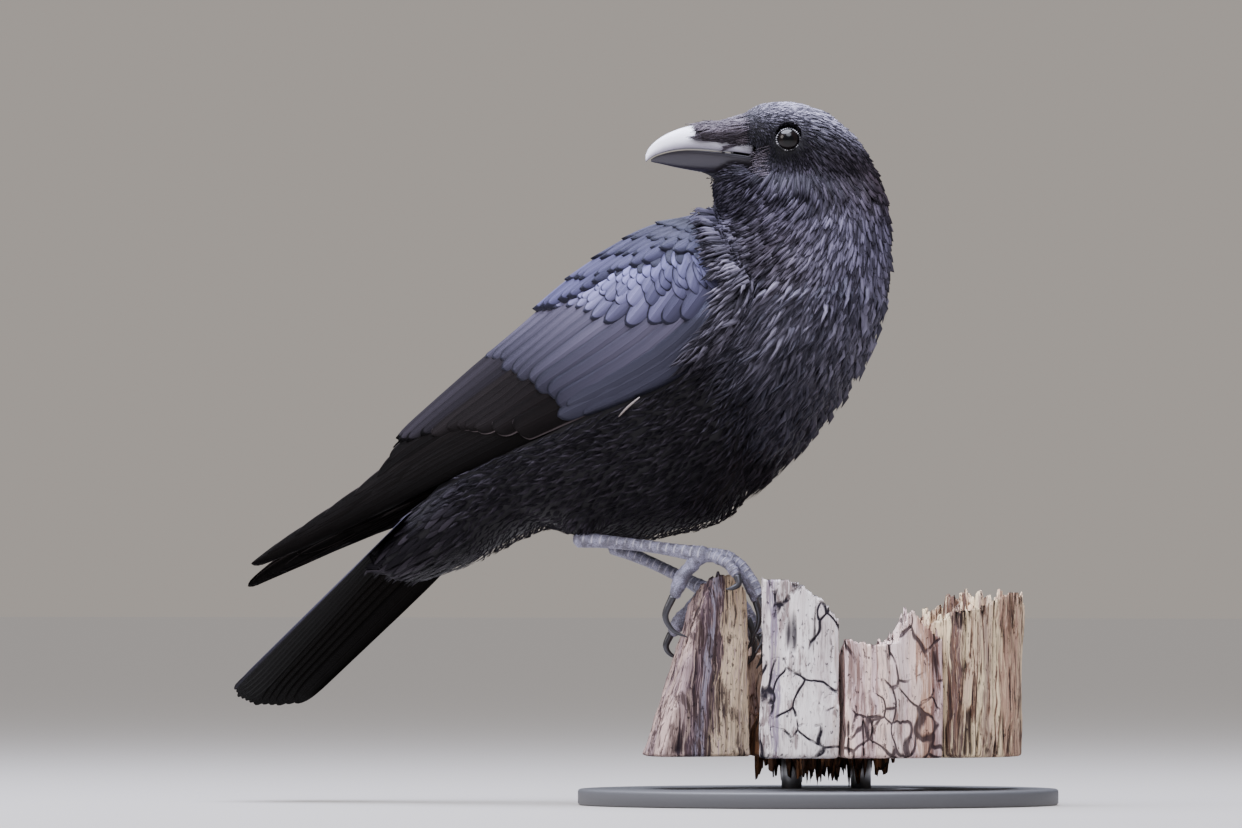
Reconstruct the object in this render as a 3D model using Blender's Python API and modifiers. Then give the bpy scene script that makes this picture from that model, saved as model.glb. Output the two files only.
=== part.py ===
"""Carrion crow, life size, looking back over its right shoulder from a broken trunk top.

Metres, +Z up. The bird heads along +X with its left side on +Y. Shapes are written in
millimetres through the factor mm. The finished model stands on its display base with the
origin under the middle of its bounding box.
"""
import bmesh
import bpy
import random
from math import cos, exp, pi, radians, sin
from mathutils import Matrix, Vector, noise
from mathutils.bvhtree import BVHTree

mm = 0.001

# Driving dimensions
gap = 0.3 * mm                      # clearance between touching pieces
head_turn = radians(-153)           # heading of the turned head, from +X
neck_lag = radians(27)              # the foot of the neck stays behind the head by this much
head_place = Vector((52, -7.2, 326.8)) * mm
eye_radius = 6.2 * mm
eye_offset = 15.7 * mm              # eye centre to the middle plane of the head
flesh_voxel = 1.5 * mm
wing_clearance = 1.2 * mm
wing_span_steps = 21
wing_chord_steps = 6
tail_root = Vector((-163, 0, 120)) * mm
tail_tip = Vector((-249, 0, 47)) * mm
tail_roll = radians(10)
tail_feathers = 12
tail_half_width = 32 * mm
tail_root_half = 34 * mm
tail_rows = (0, 0.2, 0.45, 0.7, 0.88, 0.97, 1)
tail_arch = 2.6 * mm                # rise of the middle feathers over the outer ones
tail_notch = 2.4 * mm               # depth between neighbouring feather tips
tail_edge = 0.55 * mm               # half thickness at the tips and sides
tail_stack = 1.3 * mm               # added half thickness where the quills lie stacked
tail_ridge = 0.45 * mm              # step from feather to feather
left_tip_shift = Vector((-9, 0, -11)) * mm   # the far wing hangs lower and further back
base_radius = 118 * mm
base_height = 8 * mm
rod_radius = 5 * mm
perch_bottom = 24 * mm
stave_height = 95 * mm              # height over which a stave's radii lean
splinter = 2.4                      # raggedness of the broken tops, in millimetres
trunk_axis = Vector((62, 0)) * mm   # middle of the broken trunk, across and towards
ridge_turn = radians(27)            # the gripped ridge runs this far off the bird's side

crow = bpy.data.collections.new("carrion_crow")
cutters = bpy.data.collections.new("cutters")


def clear_scene():
    for item in list(bpy.data.objects):
        bpy.data.objects.remove(item, do_unlink=True)
    bpy.context.scene.collection.children.link(crow)
    bpy.context.scene.collection.children.link(cutters)


def material(name, colour, roughness, metallic=0.0):
    made = bpy.data.materials.new(name)
    made.use_nodes = True
    shader = made.node_tree.nodes["Principled BSDF"]
    shader.inputs["Base Color"].default_value = (*colour, 1)
    shader.inputs["Roughness"].default_value = roughness
    shader.inputs["Metallic"].default_value = metallic
    return made


# Places on the broken trunk: across and towards the ridge's own axes, and up
across_axis = Vector((cos(ridge_turn), sin(ridge_turn), 0))
towards_axis = Vector((sin(ridge_turn), -cos(ridge_turn), 0))


def on_ridge(across, towards, up):
    return (across_axis * across + towards_axis * towards + Vector((0, 0, up))) * mm


# Places on the head: forward along the bill, left and up from between the eyes
forward_axis = Vector((cos(head_turn), sin(head_turn), 0))
left_axis = Vector((-sin(head_turn), cos(head_turn), 0))


def on_head(forward, left, up):
    return head_place + (forward_axis * forward + left_axis * left + Vector((0, 0, up))) * mm


# Mesh helpers

def new_object(name, mesh, finish, collection=crow):
    made = bpy.data.objects.new(name, mesh)
    collection.objects.link(made)
    if finish:
        mesh.materials.clear()
        mesh.materials.append(finish)
    return made


def mesh_from(name, build):
    work = bmesh.new()
    build(work)
    bmesh.ops.recalc_face_normals(work, faces=work.faces[:])
    mesh = bpy.data.meshes.new(name)
    work.to_mesh(mesh)
    work.free()
    return mesh


def loft(name, rings):
    """Closed body through rings of equal point count, with flat ends."""
    def build(work):
        rows = [[work.verts.new(point) for point in ring] for ring in rings]
        count = len(rows[0])
        for near, far in zip(rows, rows[1:]):
            for i in range(count):
                j = (i + 1) % count
                work.faces.new((near[i], near[j], far[j], far[i]))
        work.faces.new(rows[0])
        work.faces.new(rows[-1])
    return mesh_from(name, build)


def oval(centre, side, up, half, rise, fall, count=20, square=1.0):
    """Ring of points: half wide, rise above and fall below its centre."""
    points = []
    for i in range(count):
        angle = 2 * pi * i / count
        c, s = cos(angle), sin(angle)
        c = abs(c) ** square * (1 if c >= 0 else -1)
        s = abs(s) ** square * (1 if s >= 0 else -1)
        points.append(centre + side * (half * c) + up * ((rise if s > 0 else fall) * s))
    return points


def smooth_path(points, steps):
    """Catmull-Rom curve through the points."""
    ends = [points[0] * 2 - points[1]] + list(points) + [points[-1] * 2 - points[-2]]
    path = []
    for i in range(1, len(ends) - 2):
        a, b, c, d = ends[i - 1:i + 3]
        for k in range(steps):
            t = k / steps
            path.append(0.5 * (b * 2 + (c - a) * t + (a * 2 - b * 5 + c * 4 - d) * t * t
                               + (b * 3 - a - c * 3 + d) * t * t * t))
    path.append(points[-1].copy())
    return path


def between(rows, t):
    """Value of evenly spaced rows at t from 0 to 1, straight between rows."""
    place = min(max(t, 0), 1) * (len(rows) - 1)
    i = min(int(place), len(rows) - 2)
    return rows[i] + (rows[i + 1] - rows[i]) * (place - i)


def taper_tube(name, points, radii, steps=4, sides=2):
    """Tube along a smooth path whose radius follows the given values."""
    path = smooth_path([Vector(p) for p in points], steps)
    curve = bpy.data.curves.new(name, "CURVE")
    curve.dimensions = "3D"
    curve.bevel_depth = mm
    curve.bevel_resolution = sides
    curve.use_fill_caps = True
    spline = curve.splines.new("POLY")
    spline.points.add(len(path) - 1)
    for i, place in enumerate(path):
        spline.points[i].co = (*place, 1)
        spline.points[i].radius = between(radii, i / (len(path) - 1))
    holder = bpy.data.objects.new(name, curve)
    cutters.objects.link(holder)
    mesh = evaluated_mesh(holder)
    bpy.data.objects.remove(holder)
    weld(mesh)
    return mesh


def evaluated_mesh(item):
    bpy.context.view_layer.update()
    graph = bpy.context.evaluated_depsgraph_get()
    return bpy.data.meshes.new_from_object(item.evaluated_get(graph), depsgraph=graph)


def weld(mesh, distance=0.00002):
    work = bmesh.new()
    work.from_mesh(mesh)
    bmesh.ops.remove_doubles(work, verts=work.verts[:], dist=distance)
    bmesh.ops.recalc_face_normals(work, faces=work.faces[:])
    work.to_mesh(mesh)
    work.free()


def joined(name, meshes):
    work = bmesh.new()
    for mesh in meshes:
        work.from_mesh(mesh)
    mesh = bpy.data.meshes.new(name)
    work.to_mesh(mesh)
    work.free()
    return mesh


def with_modifiers(mesh, settings):
    """Copy of the mesh after a list of modifiers, each a type and its values."""
    holder = bpy.data.objects.new("holder", mesh)
    cutters.objects.link(holder)
    for kind, values in settings:
        modifier = holder.modifiers.new(kind.lower(), kind)
        for key, value in values.items():
            setattr(modifier, key, value)
    result = evaluated_mesh(holder)
    bpy.data.objects.remove(holder)
    return result


def fused(meshes, voxel, rounds):
    """One smooth body from overlapping meshes."""
    return with_modifiers(joined("fused", meshes), [
        ("REMESH", {"mode": "VOXEL", "voxel_size": voxel}),
        ("SMOOTH", {"factor": 0.5, "iterations": rounds}),
        ("TRIANGULATE", {}),
    ])


def thinned(mesh, triangles):
    """The mesh with about the given number of triangles."""
    ratio = min(1, triangles / len(mesh.polygons))
    return with_modifiers(mesh, [("DECIMATE", {"ratio": ratio})])


def grown(mesh, distance):
    """Copy of a closed mesh with its surface moved out by the distance."""
    work = bmesh.new()
    work.from_mesh(mesh)
    work.normal_update()
    moves = [vertex.normal * distance for vertex in work.verts]
    for vertex, move in zip(work.verts, moves):
        vertex.co += move
    result = bpy.data.meshes.new("grown")
    work.to_mesh(result)
    work.free()
    return result


def largest_piece(mesh):
    """Keeps the biggest connected body and drops crumbs left by a cut."""
    work = bmesh.new()
    work.from_mesh(mesh)
    bmesh.ops.remove_doubles(work, verts=work.verts[:], dist=0.00001)
    bmesh.ops.dissolve_degenerate(work, dist=0.00001, edges=work.edges[:])
    seen = set()
    pieces = []
    for start in work.verts:
        if start in seen:
            continue
        piece = [start]
        seen.add(start)
        for vertex in piece:
            for edge in vertex.link_edges:
                other = edge.other_vert(vertex)
                if other not in seen:
                    seen.add(other)
                    piece.append(other)
        pieces.append(piece)
    pieces.sort(key=len)
    for piece in pieces[:-1]:
        bmesh.ops.delete(work, geom=piece, context="VERTS")
    bmesh.ops.triangulate(work, faces=work.faces[:])
    bmesh.ops.recalc_face_normals(work, faces=work.faces[:])
    result = bpy.data.meshes.new("piece")
    work.to_mesh(result)
    work.free()
    return result


def minus(mesh, tools):
    """The mesh with each closed tool mesh cut away from it."""
    holders = []
    settings = []
    for tool in tools:
        holder = bpy.data.objects.new("cutter", tool)
        holder.hide_render = True
        holder.display_type = "WIRE"
        cutters.objects.link(holder)
        holders.append(holder)
        settings.append(("BOOLEAN", {"operation": "DIFFERENCE", "object": holder}))
    result = largest_piece(with_modifiers(mesh, settings))
    for holder in holders:
        bpy.data.objects.remove(holder)
    return result


def parted(mesh, place, direction):
    """The two closed bodies on either side of a plane, a gap apart."""
    halves = []
    for sign in (1, -1):
        work = bmesh.new()
        work.from_mesh(mesh)
        shifted = place + direction * (sign * gap / 2)
        geometry = work.verts[:] + work.edges[:] + work.faces[:]
        bmesh.ops.bisect_plane(work, geom=geometry, plane_co=shifted,
                               plane_no=direction * sign, clear_inner=True)
        rim = [edge for edge in work.edges if edge.is_boundary]
        bmesh.ops.triangle_fill(work, use_beauty=True, edges=rim, normal=direction)
        half = bpy.data.meshes.new("half")
        work.to_mesh(half)
        work.free()
        halves.append(largest_piece(half))
    return halves


# Trunk, neck and head

# Back point and belly point in the middle plane (x, z each) and half width, tail to neck
trunk_profile = [
    (-172, 127, -161, 109, 29), (-155, 147, -133, 117, 30), (-130, 170, -104, 131, 32),
    (-110, 190, -84, 138, 36), (-94, 212, -60, 132, 43), (-74, 235, -27, 131, 49),
    (-52, 255, 6, 138, 53), (-30, 271, 34, 159, 54), (-10, 283, 57, 182, 53),
    (4, 290, 76.5, 206, 49), (12, 294, 91, 231, 44), (19, 294, 97, 254, 40),
    (34, 280, 88, 262, 26),
]

# Neck rings: height, forward reach and back reach along the head's line, half width, twist
neck_profile = [
    (236, 22, 43, 30, 0.0), (250, 27, 48, 37, 0.0), (266, 31, 50, 38, 0.3),
    (282, 34, 50, 35, 0.6), (297, 36, 49, 29, 0.9), (308, 36.5, 46.5, 23, 1.0),
    (320, 27, 40, 17, 1.0),
]

# Head stations: forward of the eye, top, bottom, half width
head_profile = [
    (-42, -12, -26, 7), (-38, -4, -32, 13), (-30, 4.5, -34, 17.5), (-18, 13, -34, 20.6),
    (-6, 17.4, -32, 21.2), (5, 17.8, -28, 19.8), (12, 17.0, -25, 17.0),
    (18, 15.6, -21.5, 12.5), (23, 13.0, -18.5, 8.0),
]

# Bristles over the nostrils: forward, top, bottom, half width
bristle_profile = [
    (8, 15.5, -8, 14), (16, 15.2, -4.5, 12.5), (24, 13.4, -3.6, 10.6), (31, 10.6, -3.6, 9.6),
    (37, 9.1, -3.4, 8.9), (44, 7.6, -2.8, 8.1),
]

# Chin feathers under the lower bill: forward, top, bottom, half width
chin_profile = [
    (6, -18, -32, 13), (20, -17.5, -26, 10), (31, -16.5, -21.5, 7), (41, -15.8, -18.6, 4),
    (47, -15.2, -16.8, 2),
]


def trunk_mesh():
    rings = []
    for back_x, back_z, belly_x, belly_z, half in trunk_profile:
        back = Vector((back_x, 0, back_z)) * mm
        belly = Vector((belly_x, 0, belly_z)) * mm
        up = (back - belly) / 2
        rings.append(oval(belly + up, Vector((0, 1, 0)), up.normalized(), half * mm,
                          up.length, up.length, 24, 0.92))
    return loft("trunk", rings)


def neck_mesh():
    rings = []
    for height, forward, back, half, twist in neck_profile:
        turn = head_turn - neck_lag * (1 - twist)
        along = Vector((cos(turn), sin(turn), 0))
        side = Vector((-sin(turn), cos(turn), 0))
        centre = Vector((head_place.x, head_place.y * twist, height * mm))
        rings.append(oval(centre, side, along, half * mm, forward * mm, back * mm, 24))
    return loft("neck", rings)


def head_station(forward, top, bottom, half, square):
    middle = (top + bottom) / 2
    return oval(on_head(forward, 0, middle), left_axis, Vector((0, 0, 1)), half * mm,
                (top - middle) * mm, (middle - bottom) * mm, 20, square)


def head_meshes():
    head = loft("head", [head_station(*row, 0.86) for row in head_profile])
    bristles = loft("bristles", [head_station(*row, 0.9) for row in bristle_profile])
    chin = loft("chin", [head_station(*row, 1.0) for row in chin_profile])
    return [head, bristles, chin]


def flesh_mesh():
    lumps = [trunk_mesh(), neck_mesh()] + head_meshes()
    return fused(lumps, flesh_voxel, 9)


# Bill: forward, top, bottom and half width at stations from the gape to the tip
upper_bill_profile = [
    (15, 2, -8.9, 8.6), (24, 3.5, -7.8, 8.6), (34, 5.5, -6.7, 8.2), (43, 6.6, -5.8, 7.3),
    (50, 5.3, -5.7, 6.3), (56, 3.3, -6.3, 5.1), (61, 0.9, -7.4, 3.9), (65, -1.9, -8.8, 2.8),
    (68, -5.0, -10.6, 1.9), (69.8, -8.4, -12.2, 1.0),
]
lower_bill_profile = [
    (15, -9.3, -18.4, 7.6), (24, -8.2, -17.8, 7.6), (34, -7.1, -16.9, 7.2),
    (43, -6.2, -16.0, 6.4), (50, -6.1, -15.2, 5.4), (56, -6.7, -14.4, 4.2),
    (61, -7.8, -13.4, 3.1), (65, -9.2, -12.5, 2.0), (67.2, -10.6, -12.0, 1.0),
]


def upper_bill_ring(forward, top, bottom, half):
    """Ridge at the top, bulging sides and a flat cutting edge."""
    tall = top - bottom
    shape = [(0, 1), (0.30, 0.96), (0.60, 0.80), (0.86, 0.52), (1.0, 0.18), (0.94, 0)]
    right = [on_head(forward, -side * half, bottom + up * tall) for side, up in shape]
    left = [on_head(forward, side * half, bottom + up * tall) for side, up in shape[:0:-1]]
    return right + left


def lower_bill_ring(forward, top, bottom, half):
    """Flat top edge and rounded keel."""
    tall = top - bottom
    shape = [(0, 0), (0.42, 0.06), (0.78, 0.32), (0.98, 0.72), (0.94, 1)]
    right = [on_head(forward, -side * half, bottom + up * tall) for side, up in shape]
    left = [on_head(forward, side * half, bottom + up * tall) for side, up in shape[:0:-1]]
    return right + left


def build_bill(head_tool, horn):
    upper = loft("bill_upper", [upper_bill_ring(*row) for row in upper_bill_profile])
    lower = loft("bill_lower", [lower_bill_ring(*row) for row in lower_bill_profile])
    new_object("bill_upper", minus(upper, [head_tool]), horn)
    new_object("bill_lower", minus(lower, [head_tool]), horn)


# Eyes

def ball(radius, place, around=16, rings=10):
    def build(work):
        spot = Matrix.Translation(place)
        bmesh.ops.create_uvsphere(work, u_segments=around, v_segments=rings, radius=radius,
                                  matrix=spot)
    return mesh_from("ball", build)


def eye_place(side):
    return head_place + left_axis * (side * eye_offset)


# Wings: edge points from the shoulder to the wing tip, for the right side (x, out, z)
wing_upper_edge = [
    (20, 20, 290), (-14, 15, 286), (-42, 12, 273), (-67, 10, 258), (-91, 7, 240),
    (-115, 5, 223), (-141, 3, 204), (-169, 2, 182), (-179, 5, 168), (-203, 6, 150),
    (-227, 6, 135), (-249, 7, 120),
]
wing_lower_edge = [
    (50, 49, 252), (38, 52, 228), (18, 54, 211), (-10, 54, 199), (-42, 51, 189),
    (-70, 46, 180), (-100, 39, 171), (-132, 29, 160), (-154, 22, 152), (-191, 13, 138),
    (-222, 9, 126), (-248, 8, 117.5),
]


def wing_mesh(side, body, tip_shift):
    """Shell of the folded wing, lying on the body with a gap and thin towards its tip."""
    upper = [Vector((x, side * out, z)) * mm for x, out, z in wing_upper_edge]
    lower = [Vector((x, side * out, z)) * mm for x, out, z in wing_lower_edge]
    drops = [(i / (len(upper) - 1)) ** 2 for i in range(len(upper))]
    upper = smooth_path([p + tip_shift * d for p, d in zip(upper, drops)], 4)
    lower = smooth_path([p + tip_shift * d for p, d in zip(lower, drops)], 4)
    inner, outer = [], []
    for i in range(wing_span_steps + 1):
        t = i / wing_span_steps
        top, bottom = between(upper, t), between(lower, t)
        run = between(upper, min(1, t + 0.05)) - between(upper, max(0, t - 0.05))
        run += between(lower, min(1, t + 0.05)) - between(lower, max(0, t - 0.05))
        out = (top - bottom).cross(run).normalized()
        if out.y * side < 0:
            out = -out
        bulge = (3 + 7 * exp(-((t - 0.25) / 0.3) ** 2)) * mm * (1 - t)
        thick = (1.6 + 3.4 * (1 - t) ** 1.4) * mm
        under, over = [], []
        for k in range(wing_chord_steps + 1):
            v = k / wing_chord_steps
            lens = 4 * v * (1 - v)
            place = bottom.lerp(top, v) + out * (bulge * lens)
            place = off_body(place, out, body)
            under.append(place)
            over.append(place + out * (thick * (0.34 + 0.66 * lens ** 0.6)))
        inner.append(under)
        outer.append(over)
    rings = [over + under[::-1] for over, under in zip(outer, inner)]
    mesh = loft("wing", rings)
    return with_modifiers(mesh, [("TRIANGULATE", {})])


def off_body(place, out, body):
    """Moves a point out along its direction until it clears the body."""
    start = place + out * 60 * mm
    hit = body.ray_cast(start, -out, 75 * mm)
    if hit[0] is None:
        return place
    clear = hit[0] + out * wing_clearance
    return clear if (clear - place).dot(out) > 0 else place


# Tail

def tail_mesh():
    """Fan of twelve feathers: each is a pair of columns with a rounded tip, stepped down
    from the middle pair to the sides."""
    run = (tail_tip - tail_root).normalized()
    side = Matrix.Rotation(tail_roll, 3, run) @ Vector((0, 1, 0))
    up = side.cross(run)
    length = (tail_tip - tail_root).length
    columns = tail_feathers * 2
    rings = []
    for along in tail_rows:
        over, under = [], []
        for k in range(columns + 1):
            place = 2 * k / columns - 1
            reach = length * (1 - 0.09 * place ** 2) - (k + 1) % 2 * tail_notch
            half = tail_root_half + (tail_half_width - tail_root_half) * along
            step = tail_ridge * (1 if k % 2 == 1 else -1)
            roof = (1 - place ** 2) * tail_arch * (1 - 0.5 * along)
            centre = tail_root + run * (reach * along) + side * (half * place) + up * roof
            thick = tail_edge + tail_stack * (1 - along) * (1 - abs(place))
            over.append(centre + up * (thick + step * 0.5))
            under.append(centre - up * (thick - step * 0.3))
        rings.append(over + under[::-1])
    mesh = loft("tail", rings)
    return with_modifiers(mesh, [("TRIANGULATE", {})])


# Legs: points across, towards and up on the ridge's axes
right_hub = on_ridge(1, 26.5, 122.8)
left_hub = on_ridge(3, -20, 105.5)
right_ankle = Vector((-53, -27, 130.5)) * mm
left_ankle = Vector((-60, 25, 127)) * mm
right_hip = Vector((-22, -22, 168)) * mm
left_hip = Vector((-26, 22, 166)) * mm

right_toes = {
    "hind": [(-3, 26, 119), (-9, 25.5, 112), (-12.5, 25, 103)],
    "inner": [(8, 30, 121.5), (14, 33.5, 118), (17.5, 36, 113)],
    "middle": [(9, 27, 123), (17, 28.5, 120), (24, 30, 112.5), (29, 31.5, 103)],
    "outer": [(8, 23.5, 122), (16, 19.5, 118.5), (23, 15.5, 110), (27, 12.5, 101)],
}
right_claws = {
    "hind": [(-14.5, 25, 100.5), (-17, 25, 93), (-13.5, 25, 86), (-6.5, 25, 82.5)],
    "inner": [(18, 37, 111.5), (18.5, 38, 108.5), (15.5, 38.5, 106.5), (12.5, 38.5, 106)],
    "middle": [(30, 32, 100.5), (32, 33, 93), (31, 33.5, 83), (27, 33, 75)],
    "outer": [(27.5, 12, 99), (29, 11, 93), (28, 10, 87), (25, 9.5, 82)],
}
left_toes = {
    "hind": [(-3, -20, 98), (-9, -20.5, 91.5), (-13.5, -21, 84.5)],
    "inner": [(10, -17.5, 106), (17, -14.5, 101), (23, -12, 92)],
    "middle": [(10, -20.5, 106.5), (18, -20.5, 102), (25, -20.5, 93), (29, -20.5, 84)],
    "outer": [(10, -23.5, 106), (17, -27, 101), (22, -30, 92), (25, -32, 84)],
}
left_claws = {
    "hind": [(-15, -21, 82), (-16.5, -21, 78), (-14.5, -21, 74), (-9.5, -21, 71.5)],
    "inner": [(24, -11.8, 90), (26, -11.6, 85), (25.5, -11.6, 80), (23, -11.6, 76)],
    "middle": [(30, -20.5, 81.5), (31.5, -20.5, 77), (31, -20.5, 72), (28, -20.5, 67)],
    "outer": [(25.5, -32.3, 82), (27, -32.8, 78), (26.5, -33, 73), (24, -33, 69)],
}


def foot_mesh(ankle, hub, toes):
    """Tarsus and four toes as one body."""
    middle = ankle.lerp(hub, 0.5) + Vector((0, 0, 0.8)) * mm
    shin = taper_tube("shin", [ankle, middle, hub],
                      [4.3, 3.4, 3.1, 3.0, 3.1, 3.5, 4.6], 6, 3)
    pieces = [shin, ball(4.9 * mm, hub, 12, 8)]
    for name, points in toes.items():
        path = [hub] + [on_ridge(*point) for point in points]
        radii = [3.6, 3.1, 2.8, 3.1, 2.5, 2.9, 2.3, 2.7, 2.1]
        if name == "hind":
            radii = [3.8, 3.5, 3.2, 3.6, 3.0, 3.6, 3.7, 3.4, 2.6]
        pieces.append(taper_tube("toe", path, radii, 5, 3))
    return thinned(fused(pieces, 0.75 * mm, 2), 580)


def claw_mesh(points):
    path = [on_ridge(*point) for point in points]
    return taper_tube("claw", path, [2.0, 1.75, 1.4, 1.05, 0.45], 2, 2)


def thigh_mesh(hip, ankle):
    """Feathered upper leg, round at the ankle."""
    run = (ankle - hip).normalized()
    end = ankle + run * 2 * mm + Vector((0, 0, 4)) * mm
    middle = hip.lerp(end, 0.55) + Vector((-4, 0, 3)) * mm
    mesh = taper_tube("thigh", [hip, middle, end],
                      [19, 18.5, 17, 15.5, 14, 12.4, 10.6, 8.8, 6.4], 5, 4)
    return thinned(fused([mesh], 1.5 * mm, 4), 300)


def build_leg(side, hip, ankle, hub, toes, claws, body_tool, hide, scales, horn):
    foot = minus(foot_mesh(ankle, hub, toes), [body_tool])
    foot_tool = grown(foot, gap)
    thigh = minus(thigh_mesh(hip, ankle), [body_tool, foot_tool])
    new_object("thigh_" + side, thigh, hide)
    new_object("foot_" + side, foot, scales)
    tools = [foot_tool]
    for name, points in claws.items():
        claw = minus(claw_mesh(points), [foot_tool])
        new_object("claw_" + side + "_" + name, claw, horn)
        tools.append(grown(claw, gap))
    return tools


# Broken trunk

def round_trunk(angle, radius, height):
    """Place by angle and radius about the trunk's axis; 180 degrees is the gripped side."""
    return on_ridge(trunk_axis.x / mm + radius * cos(angle), -radius * sin(angle), height)


def stave_mesh(seed, start, end, outer, inner, top, columns=7, layers=4, levels=5):
    """Splintered stave: ring sector whose radii lean with height, under a ragged top.

    outer and inner are radius at the bottom and at the top; top(across, through) is the
    height over the sector's width and through its wall, both from 0 to 1.
    """
    chance = random.Random(seed)
    jitter = [chance.uniform(-1, 1) for _ in range((columns + 1) * (layers + 1))]
    floor_height = perch_bottom / mm

    def place(i, j, height):
        u, v = i / columns, j / layers
        rise = (height - floor_height) / (stave_height / mm)
        near = inner[0] + (inner[1] - inner[0]) * rise
        far = outer[0] + (outer[1] - outer[0]) * rise
        angle = radians(start + (end - start) * u)
        ripple = noise.noise(Vector((u * 5 + seed, v * 3, height / 30)))
        radius = near + (far - near) * v + ripple * 1.6
        return round_trunk(angle, radius, height)

    def build(work):
        floor = [[work.verts.new(place(i, j, floor_height)) for j in range(layers + 1)]
                 for i in range(columns + 1)]
        roof = []
        for i in range(columns + 1):
            row = []
            for j in range(layers + 1):
                height = top(i / columns, j / layers) + splinter * jitter[i * (layers + 1) + j]
                row.append(work.verts.new(place(i, j, height)))
            roof.append(row)
        for grid in (floor, roof):
            for i in range(columns):
                for j in range(layers):
                    work.faces.new((grid[i][j], grid[i + 1][j],
                                    grid[i + 1][j + 1], grid[i][j + 1]))
        rim = [(i, 0) for i in range(columns)] + [(columns, j) for j in range(layers)]
        rim += [(i, layers) for i in range(columns, 0, -1)]
        rim += [(0, j) for j in range(layers, 0, -1)]
        walls = []
        for i, j in rim:
            high = top(i / columns, j / layers) + splinter * jitter[i * (layers + 1) + j]
            wall = [floor[i][j]]
            for k in range(1, levels):
                step = floor_height + (high - floor_height) * k / levels
                wall.append(work.verts.new(place(i, j, step)))
            wall.append(roof[i][j])
            walls.append(wall)
        for near, far in zip(walls, walls[1:] + walls[:1]):
            for k in range(levels):
                work.faces.new((near[k], far[k], far[k + 1], near[k + 1]))

    mesh = mesh_from("stave", build)
    return with_modifiers(mesh, [("TRIANGULATE", {})])


def gripped_top(across, through):
    """Ridge that falls away from the near side, high in the middle of the wall."""
    along = 111 - 30 * (1 - across) ** 1.3 + 5 * across
    return along - 26 * max(0, 0.45 - through) ** 1.0 - 8 * max(0, through - 0.8)


def white_top(across, through):
    return 112 - 34 * max(0, across - 0.55) ** 0.8 - 6 * (1 - through)


def pink_top(across, through):
    return 82 + 22 * exp(-((across - 0.72) / 0.1) ** 2) - 10 * (1 - through)


def right_top(across, through):
    return 92 + 16 * exp(-((across - 0.45) / 0.4) ** 2) - 8 * (1 - through)


def back_top(across, through):
    return 76 + 9 * sin(across * 9) - 6 * (1 - through)


def heart_mesh():
    """Rotten heartwood inside the staves, with a ragged hollow top."""
    chance = random.Random(5)
    rings = []
    for height, radius in ((24, 38), (36, 38), (50, 36)):
        ring = []
        for i in range(16):
            angle = 2 * pi * i / 16
            high = height + (chance.uniform(-7, 7) if height == 50 else 0)
            ring.append(round_trunk(angle, radius + chance.uniform(-1.5, 0), high))
        rings.append(ring)
    rings.append([round_trunk(2 * pi * i / 16, 20, 44 + chance.uniform(-3, 3))
                  for i in range(16)])
    return with_modifiers(loft("heart", rings), [("TRIANGULATE", {})])


def build_perch(tools, pale, pink, dark):
    gripped = stave_mesh(3, 154, 206, (90, 61), (41, 43), gripped_top, 7, 4, 4)
    new_object("perch_stave_gripped", minus(gripped, tools), pale)
    staves = [
        ("white", 11, 247, 273, (88, 84), (46, 60), white_top, pale),
        ("pink", 23, 275, 309, (90, 86), (44, 58), pink_top, pink),
        ("right", 31, 311, 376, (96, 97), (44, 62), right_top, pale),
        ("back", 47, 20, 140, (80, 74), (46, 58), back_top, pink),
    ]
    for name, seed, start, end, outer, inner, top, finish in staves:
        mesh = stave_mesh(seed, start, end, outer, inner, top, 8 if name == "back" else 6, 2, 4)
        new_object("perch_stave_" + name, mesh, finish)
    new_object("perch_heart", heart_mesh(), dark)


# Display stand

def cylinder(radius, height, place, segments):
    def build(work):
        spot = Matrix.Translation(place + Vector((0, 0, height / 2)))
        bmesh.ops.create_cone(work, cap_ends=True, segments=segments, radius1=radius,
                              radius2=radius, depth=height, matrix=spot)
    return mesh_from("cylinder", build)


def build_stand(plain, steel):
    base = cylinder(base_radius, base_height, on_ridge(58, 0, 0), 48)
    new_object("stand_base", base, plain)
    for name, across in (("left", 45), ("right", 79)):
        place = on_ridge(across, 0, base_height / mm) + Vector((0, 0, gap))
        rod = cylinder(rod_radius, perch_bottom - base_height - gap * 2, place, 20)
        new_object("stand_rod_" + name, rod, steel)


def stand_on_origin():
    """Moves everything so that the origin is under the middle of the bounding box."""
    low = Vector((1e9, 1e9, 1e9))
    high = -low
    for item in crow.objects:
        for vertex in item.data.vertices:
            for axis in range(3):
                low[axis] = min(low[axis], vertex.co[axis])
                high[axis] = max(high[axis], vertex.co[axis])
    shift = Matrix.Translation(Vector((-(low.x + high.x) / 2, -(low.y + high.y) / 2, -low.z)))
    for item in crow.objects:
        item.data.transform(shift)


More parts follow.
